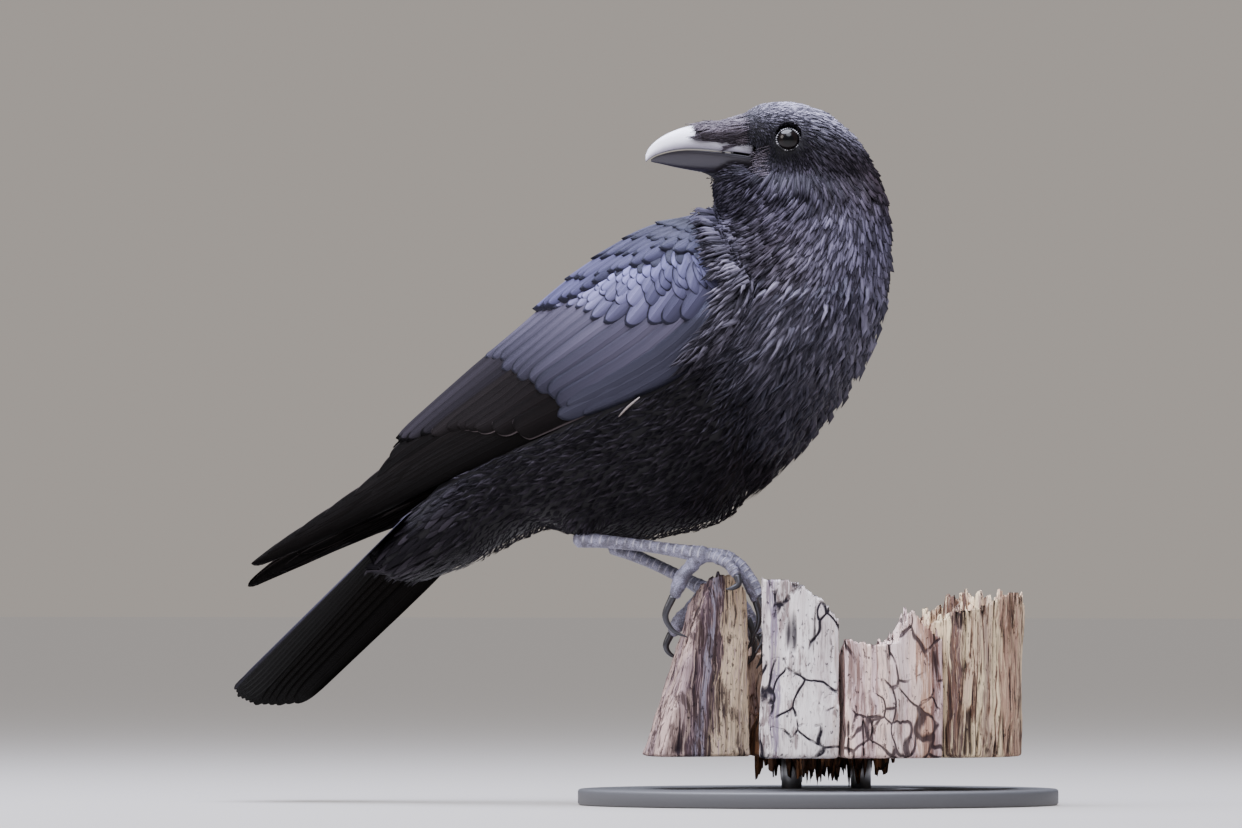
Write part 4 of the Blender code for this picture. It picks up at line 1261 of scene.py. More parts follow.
# small coverts of the shoulder, between the tips of their lowest and their highest row
lesserCoverts = {
    "rows": 6, "roots": (((0.14, 0.95), (0.0, 0.33)), ((0.08, 0.95), (0.0, 0.54))),
    "tips": ([(0.282, 0.86), (0.27, 0.785), (0.256, 0.71), (0.24, 0.64), (0.22, 0.57), (0.198, 0.50),
              (0.172, 0.435), (0.144, 0.375), (0.114, 0.32), (0.082, 0.265), (0.05, 0.21), (0.03, 0.15)],
             [(0.20, 0.80), (0.186, 0.745), (0.17, 0.695), (0.152, 0.65), (0.131, 0.605), (0.108, 0.565),
              (0.084, 0.525), (0.061, 0.485), (0.042, 0.44), (0.028, 0.39), (0.018, 0.33), (0.01, 0.26)]),
    "wide": (14, 12), "lift": ((1.5, 0.6), (0.9, -1.3)), "tipLift": ((2.4, 1.8), (3.2, 2.4)),
    # the lilac tints of the lesser coverts are painted sheen over black feathers
    "tint": ((0.082, 0.077, 0.140), (0.104, 0.100, 0.210)),
    "shadow": (0.010, 0.010, 0.014),  # the last row, under the scapulars
}


def shared(pair, t):
    return pair[0] + (pair[1] - pair[0]) * t


def blend(pair, t):
    return tuple(shared((a, b), t) for a, b in zip(*pair))


def lesserRow(t):
    form = lesserCoverts
    return {"roots": tuple(blend(ends, t) for ends in zip(*form["roots"])),
            "tips": [blend(ends, t) for ends in zip(*form["tips"])],
            "wide": shared(form["wide"], t), "lift": blend(form["lift"], t),
            "tipLift": blend(form["tipLift"], t), "camber": 0.4, "tilt": 0.3, "tipStart": 0.8,
            "point": 2.3, "shades": (0.35, 1.0), "rim": 0.88, "stray": 0.013,
            "tint": blend(form["tint"], t) if t < 1 else form["shadow"]}


covertRows += [lesserRow(i / (lesserCoverts["rows"] - 1)) for i in range(lesserCoverts["rows"])]
covertRows += scapularRows


def wingFeathers(name, node, side, shift, seed):
    surface = wingSurface(node, side, shift)
    chance = random.Random(seed)
    inside = wingForm["inside"]
    for suffix, rows, finish, usualStray in (("", flightRows, flightFinish, 0.004),
                                             ("Coverts", covertRows, covertFinish, 0.008)):
        store = freshStore()
        for row in rows:
            stray = row.get("stray", usualStray)
            for i, (s, v) in enumerate(row["tips"]):
                t = i / (len(row["tips"]) - 1)
                tip = (s + chance.uniform(-stray, stray), v + chance.uniform(-stray, stray) * 1.3)
                shade = shared(row["shades"], 1 - t) + chance.uniform(-0.2, 0.2)
                fine = 1 - 0.5 * ease(np.array(tip[0]), 0.7, 1.0)
                layVane(surface, {
                    "root": blend(row["roots"], t), "tip": tip,
                    "wide": row["wide"] * mm * chance.uniform(0.94, 1.06) * fine,
                    "thick": wingForm["thick"],
                    "lift": shared(row["lift"], t) * mm - inside,
                    "tipLift": shared(row["tipLift"], t) * mm - inside,
                    "tilt": row["tilt"] * mm, "camber": row.get("camber", 0.5) * mm,
                    "tipStart": row["tipStart"], "point": row["point"],
                    "shade": max(0.1, min(1, shade)), "tint": row["tint"], "rim": row["rim"],
                    "fade": row.get("fade", 0.0),
                }, store)
        piece(name + suffix, vaneMesh(name, store), finish, (node,))
    return surface


def wingLining(name, surface, node):
    # dark layer that closes the inside of the folded wing
    rows, columns = 30, 8
    across = columns + 1
    points, faces = [], []
    for depth in (-4.8, -5.6):
        for i in range(rows + 1):
            for j in range(across):
                points.append(surface.at(0.02 + 0.62 * i / rows, 0.05 + 0.9 * j / columns, depth * mm))
    size = (rows + 1) * across
    for i in range(rows):
        for j in range(columns):
            k = i * across + j
            faces.append((k, k + 1, k + across + 1, k + across))
            faces.append(tuple(n + size for n in (k, k + across, k + across + 1, k + 1)))
    rim = list(range(across))
    rim += [i * across + columns for i in range(1, rows + 1)]
    rim += [rows * across + j for j in range(columns - 1, -1, -1)]
    rim += [i * across for i in range(rows - 1, 0, -1)]
    for a, b in zip(rim, rim[1:] + rim[:1]):
        faces.append((a, b, b + size, a + size))
    mesh = outward(meshOf(name, points, faces))
    setAttribute(mesh, "tint", "FLOAT_COLOR", [plumageTints["tail"]] * len(mesh.vertices))
    piece(name, mesh, liningFinish, (node,))


def strayFeather():
    # a loose pale feather caught at the lower edge of the near wing
    form = {"from": (-4, -57.5, 199.5), "to": (-15, -58.5, 190), "wide": 0.55, "thick": 0.22, "rings": 7,
            "arch": 1.2}
    start, end = at(*form["from"]), at(*form["to"])
    run = (end - start).normalized()
    out = Vector((0, -1, 0))
    across = run.cross(out).normalized()
    rings = []
    for i in range(form["rings"]):
        t = i / (form["rings"] - 1)
        centre = start.lerp(end, t) + out * (form["arch"] * mm * math.sin(math.pi * t))
        swell = math.sin(math.pi * (0.12 + 0.8 * t)) ** 0.7
        rings.append([centre + across * (cosine * form["wide"] * mm * swell)
                      + out * (sine * form["thick"] * mm * swell) for cosine, sine in circle(8)])
    look = Finish("strayFeather", (0.20, 0.165, 0.15))
    look.set({"Roughness": 0.6})
    piece("strayFeather", loft("strayFeather", rings), look.material)


liningFinish = skinFinish()
rightWing = wingFeathers("wingRight", "wing_right", -1, (0, 0, 0), 3)
leftWing = wingFeathers("wingLeft", "wing_left", 1, wingForm["farTipShift"], 8)
wingLining("wingRightLining", rightWing, "wing_right")
wingLining("wingLeftLining", leftWing, "wing_left")
strayFeather()
print("wings made")


# Tail: twelve feathers, the middle pair on top, with coverts above and below their roots

tailForm = {
    "root": (-163, 0, 120), "tip": (-249, 0, 47), "roll": 10,
    "rootHalf": 34, "tipHalf": 32, "feathers": 12, "wide": 15.5,
    "roof": (8.5, 1.6),       # rise of the middle over the edges, at the root and at the tip
    # topTint is a painted highlight: the light along the upper faces of the near side's outer feathers
    "topTint": (0.10, 0.095, 0.14),  # the outer feathers of the near side
}


def tailSurface():
    root, tip = at(*tailForm["root"]), at(*tailForm["tip"])
    run = (tip - root).normalized()
    side = Matrix.Rotation(math.radians(tailForm["roll"]), 3, run) @ Vector((0, 1, 0))
    out = side.cross(run)
    steps = 24
    places = []
    for i in range(steps + 1):
        a = i / steps
        half = (tailForm["rootHalf"] + (tailForm["tipHalf"] - tailForm["rootHalf"]) * a) * mm
        row = []
        for j in range(steps + 1):
            c = 2 * j / steps - 1
            roof = (1 - c * c) * shared(tailForm["roof"], a) * mm
            row.append(root + run * ((tip - root).length * a) + side * (half * c) + out * roof)
        places.append(row)
    return Surface(places, [[out] * (steps + 1)] * (steps + 1))


def tailFeathers():
    surface = tailSurface()
    chance = random.Random(12)
    store = freshStore()
    count = tailForm["feathers"]
    chord = 2 * tailForm["tipHalf"]
    dark, paintedLight = plumageTints["tail"], tailForm["topTint"]
    for pair in range(count // 2 - 1, -1, -1):
        for side in (-1, 1):
            centre = 0.5 + side * (pair + 0.5) / count * (1 - tailForm["wide"] * 0.42 / chord)
            rootV = 0.5 + side * (pair + 0.5) / count * 0.9
            reach = 1 - 0.085 * ((pair + 0.5) / (count / 2)) ** 2 + chance.uniform(-0.006, 0.006)
            vane = {
                "root": (-0.22, rootV), "tip": (reach, centre),
                "wide": tailForm["wide"] * mm, "thick": 0.4 * mm,
                "lift": (0.8 - 0.22 * pair) * mm, "tipLift": (0.6 - 0.2 * pair) * mm,
                "tilt": -side * 0.15 * mm, "camber": 0.1 * mm,
                "tipStart": 0.86, "point": 2.1, "rootWide": 0.55,
                "shade": 0.55 + chance.uniform(-0.2, 0.2), "tint": dark,
                "topTint": paintedLight if side < 0 and pair > 3 else dark, "fade": 0.8, "rim": 1.0,
            }
            # the near side's outer feathers carry that painted highlight on their upper faces, the outermost
            # one along its near edge as well
            if side < 0 and pair == 5:
                vane["edgeTint"] = paintedLight  # the near edge of the tail
            layVane(surface, vane, store)
    piece("tail", vaneMesh("tail", store), tailFinish, ("tail",))


tailFeathers()
print("tail made")


# Bristles that lie forward over the nostrils

bristleForm = coatForm(length=12, wide=0.06, rows=5, cup=0.1, root=0.6, spacing=0.62, depth=1.1,
                       rootDepth=0.1, loose=0.05, turn=8, seed=21, blunt=0.05)


def bristles():
    f, l, u = headPlaces(skinPoints).T
    zone = ease(f, 17, 22) * (1 - ease(f, 34, 38)) * ease(u, -5.5, -3.5)
    gape = ease(f, 7, 9) * ease(f, 15, 12) * ease(np.abs(l), 5, 8) * ease(u, -21, -18) * ease(u, -3, -5)
    zone = np.maximum(zone, 0.3 * gape)
    way = np.array(headForward) - np.array(up) * (0.22 - 0.02 * np.clip(u, -4, 20))[:, None]
    way = unit(way - skinOuts * (way * skinOuts).sum(1)[:, None])
    kept = np.empty(len(skinPoints) * 3)
    layer = skin.data.attributes["lie"].data
    layer.foreach_get("vector", kept)
    layer.foreach_set("vector", way.ravel())
    reach = np.where(gape > 0.1, 0.5, 0.75 + 0.25 * ease(f, 20, 30))
    coatPiece("bristles", zone, reach, bristleForm, bristleFinish)
    layer.foreach_set("vector", kept)


bristleFinish = featherFinish("bristles", 0.65, 4.0, 0.9, 0.38, (1.0, 0.80, 0.92))
bristles()
bpy.data.objects.remove(bed)


# Bill: forward, top, bottom and half width at stations from the gape to the tip

billForm = {
    "upper": [(17, 2, -8.9, 8.3), (24, 3.5, -7.8, 8.5), (34, 5.5, -6.7, 8.2), (43, 6.6, -5.8, 7.3),
              (50, 5.3, -5.7, 6.3), (56, 3.3, -6.3, 5.1), (61, 0.9, -7.4, 3.9), (65, -1.9, -8.8, 2.8),
              (68, -5.0, -10.6, 1.9), (69.8, -8.4, -12.2, 1.0)],
    "lower": [(17, -9.5, -20.2, 7.6), (24, -8.4, -19.6, 7.8), (34, -7.2, -18.4, 7.4),
              (43, -6.4, -17.0, 6.5), (50, -6.3, -15.8, 5.4), (56, -6.9, -14.6, 4.2),
              (61, -8.0, -13.4, 3.1), (65, -9.4, -12.5, 2.0), (67.2, -10.8, -12.0, 1.0)],
    # half of a cross-section, out to the side and up, both 0 to 1
    "upperShape": [(0, 1), (0.20, 0.985), (0.38, 0.93), (0.55, 0.83), (0.70, 0.70), (0.83, 0.54),
                   (0.93, 0.37), (0.985, 0.2), (1.0, 0.06), (0.97, 0.0), (0.86, 0.03), (0.5, 0.09),
                   (0, 0.11)],
    "lowerShape": [(0, 0), (0.25, 0.03), (0.48, 0.12), (0.67, 0.26), (0.82, 0.44), (0.92, 0.62),
                   (0.97, 0.78), (0.985, 0.86), (0.955, 0.9), (0.975, 0.95), (0.93, 1.0), (0.8, 0.97),
                   (0.4, 0.92), (0, 0.9)],
    "steps": 5,
}


def billMesh(key):
    shape = billForm[key + "Shape"]
    rings = []
    for forward, top, bottom, half in catmull([np.array(row, float) for row in billForm[key]],
                                              billForm["steps"]):
        near = [(-side * half, high) for side, high in shape]
        far = [(side * half, high) for side, high in shape[-2:0:-1]]
        rings.append([onHead(forward, out, bottom + high * (top - bottom)) for out, high in near + far])
    mesh = loft(key, rings)
    forward, top, bottom, _ = np.array(billForm[key]).T
    f, _, u = headPlaces(coords(mesh)).T
    tops, bottoms = np.interp(f, forward, top), np.interp(f, forward, bottom)
    line = bottoms if key == "upper" else tops
    setAttribute(mesh, "edge", "FLOAT", np.maximum(0, 1 - np.abs(u - line) / 0.9))
    setAttribute(mesh, "high", "FLOAT", (u - bottoms) / np.maximum(tops - bottoms, 1))
    return shaped(mesh, [("SUBSURF", {"levels": 1, "render_levels": 1})])


def hornFinish(name, colour, edgeColour, paintedRidgeSheen=None):
    look = Finish(name, colour)
    place = look.place()
    streak = look.clouds(look.stretched(place, (260, 260, 900)), 1.0, 3.0)
    blotch = look.clouds(place, 90.0, 3.0)
    line = look.attribute("edge").between(0.35, 0.95)
    base = look.mix(blotch, colour, tuple(c * 1.7 for c in colour))
    base = look.mix(line * 0.7, base, edgeColour)
    if paintedRidgeSheen:
        # paler towards the ridge: painted sheen of the light from above
        high = look.attribute("high").between(0.0, 0.6)
        base = look.mix(high * (0.75 + 0.25 * blotch), base, paintedRidgeSheen)
    look.set({"Base Color": base, "Roughness": 0.26 + 0.14 * streak,
              "Normal": look.bump(streak, 0.18, 0.0003), "Specular IOR Level": 0.75,
              "Specular Tint": (0.86, 0.86, 1.0), "Coat Roughness": 0.32, "Coat Weight": 0.35})
    return look.material


# the upper horn's paler colour and near-white ridge are painted sheen; the lower horn keeps the horn's own
# dark colour
upperHornPaintedSheen = hornFinish("upperHornPaintedSheen", (0.16, 0.145, 0.175), (0.05, 0.044, 0.05), (0.95, 0.92, 1.0))
lowerHorn = hornFinish("lowerHorn", (0.012, 0.009, 0.011), (0.035, 0.03, 0.035))
piece("billUpper", billMesh("upper"), upperHornPaintedSheen, ("bill_upper",))
piece("billLower", billMesh("lower"), lowerHorn, ("bill_lower",))
print("bill made")


# Eyes with a dark iris, and their beaded lids

eyeForm = {"radius": 6.2 * mm, "lidRadius": 5.3 * mm, "lidOut": 3.45 * mm, "lidThick": 0.34 * mm,
           "beads": 34, "stepsToBead": 6, "around": 8}


def eyeFinish():
    look = Finish("eyeball", (0.012, 0.007, 0.004))
    ring = look.attribute("ring")  # 0 in the middle of the eye, 1 at its edge
    black = (0.002, 0.002, 0.002)
    rim = (0.003, 0.002, 0.002)
    rays = look.clouds(look.stretched(look.place(), (500, 500, 500)), 1.0, 3.0)
    iris = look.mix(rays, rim, (0.009, 0.005, 0.004))
    pupil = look.mix(ring.between(0.40, 0.46), black, iris)
    look.set({"Base Color": look.mix(ring.between(0.66, 0.78), pupil, rim),
              "Roughness": 0.2, "Coat Weight": 0.35, "Coat Roughness": 0.02, "Specular IOR Level": 0.15})
    return look.material


def lidFinish():
    look = Finish("eyelids", (0.05, 0.047, 0.05))
    bead = look.attribute("bead").between(0.45, 1.0)
    look.set({"Base Color": look.mix(bead, (0.008, 0.007, 0.009), (0.50, 0.48, 0.50)),
              "Roughness": 0.45})
    return look.material


def eye(side, finish, lids):
    name = "Left" if side > 0 else "Right"
    centre, axis = eyePlace(side), headLeft * side
    turn = axis.to_track_quat("Z", "Y").to_matrix().to_4x4()
    mesh = ballMesh("eye", centre, eyeForm["radius"], (48, 32), turn)
    rings = []
    for place in coords(mesh):
        rel = Vector(place) - centre
        away = (rel - axis * rel.dot(axis)).length
        rings.append(away / eyeForm["radius"] if rel.dot(axis) > 0 else 1.0)
    setAttribute(mesh, "ring", "FLOAT", rings)
    piece("eye" + name, mesh, finish, ("eye_" + name.lower(),))
    first, second = headForward, axis.cross(headForward)
    points, faces, beads = [], [], []
    count, around = eyeForm["beads"] * eyeForm["stepsToBead"], eyeForm["around"]
    for i, (cosine, sine) in enumerate(circle(count)):
        swell = 0.5 + 0.5 * math.cos(2 * math.pi * i / count * eyeForm["beads"])
        patch = noise.noise(Vector((cosine * 2.1, sine * 2.1, side * 3.0)))
        radial = first * cosine + second * sine
        # the corners of the eye are drawn out a little
        stretch = 1 + 0.09 * abs(cosine) ** 6
        mid = centre + axis * eyeForm["lidOut"] + radial * (eyeForm["lidRadius"] * stretch)
        thick = eyeForm["lidThick"] * (0.72 + 0.5 * swell)
        for inward, outwards in circle(around):
            points.append(mid + (radial * inward + axis * outwards) * thick)
            beads.append(max(0.0, min(1.0, swell * (0.75 + 1.6 * patch))) * (outwards > -0.3))
    for i in range(count):
        here, there = i * around, (i + 1) % count * around
        for k in range(around):
            onward = (k + 1) % around
            faces.append((here + k, here + onward, there + onward, there + k))
    ring = outward(meshOf("lids", points, faces))
    setAttribute(ring, "bead", "FLOAT", beads)
    piece("eyelids" + name, ring, lids)


eyeballFinish, eyelidFinish = eyeFinish(), lidFinish()
eye(1, eyeballFinish, eyelidFinish)
eye(-1, eyeballFinish, eyelidFinish)
print("eyes made")


# Feet: scaled tubes over the perch's ridge; points are across, towards and up on its axes

footForm = {
    "right": {
        "ankle": (-53, -27, 130.5), "hub": (1, 26.5, 122.8), "grip": (5, 28, 98),
        "toes": {"hind": [(-3, 26, 119), (-9, 25.5, 112), (-12.5, 25, 103)],
                 "inner": [(8, 30, 121.5), (14, 33.5, 118), (17.5, 36, 113)],
                 "middle": [(9, 27, 123), (17, 28.5, 120), (24, 30, 112.5), (29, 31.5, 103)],
                 "outer": [(8, 23.5, 122), (16, 19.5, 118.5), (23, 15.5, 110), (27, 12.5, 101)]},
        "claws": {"hind": [(-13.2, 25, 102.5), (-17, 25, 93), (-13.5, 25, 86), (-6.5, 25, 82.5)],
                  "inner": [(17.8, 36.6, 112.5), (18.5, 38, 108.5), (15.5, 38.5, 106.5),
                            (12.5, 38.5, 106)],
                  "middle": [(29.3, 31.6, 102.5), (32, 33, 93), (31, 33.5, 83), (27, 33, 75)],
                  "outer": [(27.2, 12.4, 100.5), (29, 11, 93), (28, 10, 87), (25, 9.5, 82)]},
    },
    "left": {
        "ankle": (-60, 25, 127), "hub": (3, -20, 105.5), "grip": (6, -20, 80),
        "toes": {"hind": [(-3, -20, 98), (-9, -20.5, 91.5), (-13.5, -21, 84.5)],
                 "inner": [(10, -17.5, 106), (17, -14.5, 101), (23, -12, 92)],
                 "middle": [(10, -20.5, 106.5), (18, -20.5, 102), (25, -20.5, 93), (29, -20.5, 84)],
                 "outer": [(10, -23.5, 106), (17, -27, 101), (22, -30, 92), (25, -32, 84)]},
        "claws": {"hind": [(-14, -21, 84), (-16.5, -21, 78), (-14.5, -21, 74), (-9.5, -21, 71.5)],
                  "inner": [(23.3, -12, 91.5), (26, -11.6, 85), (25.5, -11.6, 80), (23, -11.6, 76)],
                  "middle": [(29.3, -20.5, 83.5), (31.5, -20.5, 77), (31, -20.5, 72), (28, -20.5, 67)],
                  "outer": [(25.2, -32.2, 83.5), (27, -32.8, 78), (26.5, -33, 73), (24, -33, 69)]},
    },
    "shinRadii": [4.2, 3.4, 3.0, 2.9, 3.0, 3.4, 4.3],
    "toeRadii": [3.5, 3.0, 2.7, 3.0, 2.5, 2.8, 2.3, 2.6, 2.0],
    "hindRadii": [3.7, 3.4, 3.1, 3.5, 2.9, 3.5, 3.6, 3.3, 2.5],
    "clawRadii": [1.95, 1.7, 1.4, 1.0, 0.3],
    "around": 24, "scuteStep": 0.34 * mm,
}


def tubeFrame(path, t, step, gripAt):
    # centre, way ahead, and the directions out from the grip and across, at t along a path
    centre = along(path, t)
    ahead = (along(path, min(1, t + step)) - along(path, max(0, t - step))).normalized()
    outer = centre - gripAt
    outer = (outer - ahead * outer.dot(ahead)).normalized()
    return centre, outer, ahead.cross(outer)


def scaledTube(path, radii, scutes, gripAt, pads, step, smoothFrom=0.0):
    # tube with overlapping plates on its outer side and round pads on its inner side
    path = catmull([Vector(p) for p in path], 10)
    around = footForm["around"]
    rings, edges = [], []
    marks = [(k + u) / scutes for k in range(scutes) for u in (0.02, 0.35, 0.7, 0.93)] + [1.0]
    for t in marks:
        centre, outer, side = tubeFrame(path, t, 0.02, gripAt)
        phase = (t * scutes) % 1.0
        plate = step * (phase - 0.35) * ease(np.array(t), smoothFrom - 0.05, smoothFrom + 0.1)
        pad = pads * abs(math.sin(math.pi * t * 3.2)) ** 0.7
        ring = []
        for j, (cosine, sine) in enumerate(circle(around)):
            top = max(0.0, math.cos(math.pi * j / around)) ** 0.6 if cosine > -0.35 else 0.0
            low = max(0.0, -cosine) ** 0.8
            pebble = noise.noise(Vector((t * scutes * 2.2, cosine * 2.4, sine * 2.4)))
            reach = along(radii, t) * mm + plate * top + pad * low + 0.14 * mm * pebble
            ring.append(centre + (outer * cosine + side * sine) * reach)
            # the plate edges are marked for a painted highlight, full on the plated outer side and faint
            # elsewhere
            edges.append(max(0.0, phase - 0.55) / 0.4 * (1 if top > 0 else 0.25))
        rings.append(ring)
    caps = []
    for end in (0, 1):  # rounded ends
        ring = rings[-end]
        centre = sum(ring, Vector()) / around
        push = (centre - along(path, abs(end - 0.03))).normalized() * (along(radii, end) * 0.5 * mm)
        caps.append([centre + (p - centre) * 0.62 + push for p in ring])
    mesh = loft("tube", [caps[0]] + rings + [caps[1]])
    edges = [0.0] * around + edges
    setAttribute(mesh, "edge", "FLOAT", edges + [0.0] * (len(mesh.vertices) - len(edges)))
    return mesh


def footMesh(form):
    ankle, hub, gripAt = at(*form["ankle"]), onRidge(*form["hub"]), onRidge(*form["grip"])
    middleShin = ankle.lerp(hub, 0.5) + up * 0.8 * mm
    gripShin = ankle.lerp(hub, 0.6) - up * 200 * mm
    parts = [scaledTube([ankle, middleShin, hub], footForm["shinRadii"], 15, gripShin, 0.0,
                        0.42 * mm, 0.45)]
    for name, points in form["toes"].items():
        path = [hub] + [onRidge(*point) for point in points]
        radii, pads = (footForm["hindRadii"], 0.55) if name == "hind" else (footForm["toeRadii"], 0.4)
        scutes = 9 if name in ("hind", "inner") else 13
        parts.append(scaledTube(path, radii, scutes, gripAt, pads * mm, footForm["scuteStep"]))
    ball = ballMesh("ball", hub, 4.3 * mm, (20, 14))
    setAttribute(ball, "edge", "FLOAT", [0.0] * len(ball.vertices))
    return joinedMesh("foot", parts + [ball])


def clawMesh(points):
    path = catmull([onRidge(*point) for point in points], 8)
    rings = []
    for i in range(len(path)):
        t = i / (len(path) - 1)
        centre, outer, side = tubeFrame(path, t, 0.03, (path[0] + path[-1]) / 2)
        radius = along(footForm["clawRadii"], t) * mm
        rings.append([centre + outer * cosine * radius * (1 - 0.1 * max(0.0, -cosine) ** 4) * 1.05
                      + side * sine * radius * 0.82 for cosine, sine in circle(14)])
    tip = path[-1]
    ahead = (tip - path[-3]).normalized()
    rings.append([tip + (p - tip) * 0.3 + ahead * 0.3 * mm for p in rings[-1]])
    mesh = loft("claw", rings)
    setAttribute(mesh, "edge", "FLOAT", [0.0] * len(mesh.vertices))
    return mesh


def scaleFinish():
    look = Finish("legScales", (0.050, 0.050, 0.058))
    place = look.place()
    grimeAndSheen = look.clouds(place, 260.0, 4.0)
    pebbles = look.cells(place, 1100.0)
    line = look.attribute("edge").between(0.35, 1.0)
    # the pale lilac of the scales is painted sheen on black scales and the pale plate edges are painted
    # highlights; the base is darker in the gaps between pebbles
    base = look.mix(grimeAndSheen.between(0.38, 0.62), (0.15, 0.14, 0.18), (0.33, 0.32, 0.43))
    base = look.mix(pebbles.between(0.10, 0.0) * 0.75, base, (0.020, 0.018, 0.024))
    base = look.mix(line * grimeAndSheen.between(0.3, 0.55) * 0.9, base, (0.60, 0.57, 0.64))
    look.set({"Base Color": base, "Roughness": 0.38 + 0.25 * grimeAndSheen, "Specular IOR Level": 0.5,
              "Normal": look.bump(pebbles.between(0.0, 0.12), 0.35, 0.0003,
                                  look.bump(grimeAndSheen, 0.3, 0.0005))})
    return look.material


legFinish = scaleFinish()
clawFinish = hornFinish("clawHorn", (0.020, 0.018, 0.018), (0.05, 0.05, 0.05))
for side in ("right", "left"):
    piece("foot" + side.title(), footMesh(footForm[side]), legFinish, ("foot_" + side,))
    for name, points in footForm[side]["claws"].items():
        piece("claw" + side.title() + name.title(), clawMesh(points), clawFinish,
              ("claw_%s_%s" % (side, name),))
print("feet made")


# Broken trunk: split staves round a rotten heart

perchForm = {
    "middle": 62,             # the trunk's axis, across from the gripped ridge's zero
    "voxel": 1.25 * mm,
    "crackDepth": 2.2 * mm, "grain": 0.8 * mm, "lumps": 0.9 * mm,
    "splinterHeight": 20 * mm, "gripHeight": 5 * mm,
    "spread": 42,             # millimetres of wood to a radian round the axis
    "lowestSplinter": 40,
}
# bands run up the trunk: middle and half width across it in millimetres, colour and strength
woodTones = {
    "gripped": {"light": (0.62, 0.44, 0.38), "grey": (0.42, 0.30, 0.30), "streak": (0.10, 0.060, 0.055),
                "dark": (0.018, 0.010, 0.016), "crackle": 0.0, "stain": 0.85, "blot": 0.8, "lean": 0.073,
                "bands": [(46, 11, (0.90, 0.70, 0.46), 0.9), (29, 6.5, (0.050, 0.026, 0.040), 0.9),
                          (31, 1.6, (0.42, 0.38, 0.46), 0.8), (24.5, 0.9, (0.60, 0.44, 0.36), 0.8)]},
    "white": {"light": (0.86, 0.79, 0.76), "grey": (0.70, 0.62, 0.60), "streak": (0.30, 0.21, 0.20),
              "dark": (0.010, 0.006, 0.012), "crackle": 1.0, "stain": 0.30, "blot": 0.85,
              "bands": [(63, 2, (0.20, 0.15, 0.24), 0.85), (96, 4, (0.62, 0.50, 0.42), 0.6)]},
    "pink": {"light": (1.0, 0.74, 0.63), "grey": (0.78, 0.57, 0.55), "streak": (0.30, 0.16, 0.12),
             "dark": (0.022, 0.010, 0.014), "crackle": 0.9, "stain": 0.45, "blot": 0.55,
             "bands": [(137, 5, (0.52, 0.27, 0.15), 0.75), (141, 1.5, (0.16, 0.08, 0.07), 0.9),
                       (122, 5, (0.86, 0.72, 0.66), 0.6)]},
    "right": {"light": (1.0, 0.79, 0.50), "grey": (0.84, 0.60, 0.42), "streak": (0.20, 0.105, 0.065),
              "dark": (0.035, 0.018, 0.016), "crackle": 0.0, "stain": 1.0, "blot": 0.7,
              "bands": [(178, 5.5, (0.46, 0.25, 0.18), 0.85), (166, 2.4, (0.30, 0.20, 0.17), 0.8),
                        (149.5, 4, (0.075, 0.038, 0.042), 0.95)]},
    "back": {"light": (0.50, 0.36, 0.27), "grey": (0.30, 0.20, 0.18), "streak": (0.16, 0.08, 0.05),
             "dark": (0.018, 0.011, 0.011), "crackle": 0.3, "stain": 0.8, "blot": 0.6, "bands": []},
    "heart": {"light": (0.26, 0.115, 0.05), "grey": (0.12, 0.055, 0.03), "streak": (0.04, 0.02, 0.012),
              "dark": (0.004, 0.003, 0.002), "crackle": 0.0, "stain": 0.9, "blot": 0.6, "bands": []},
}


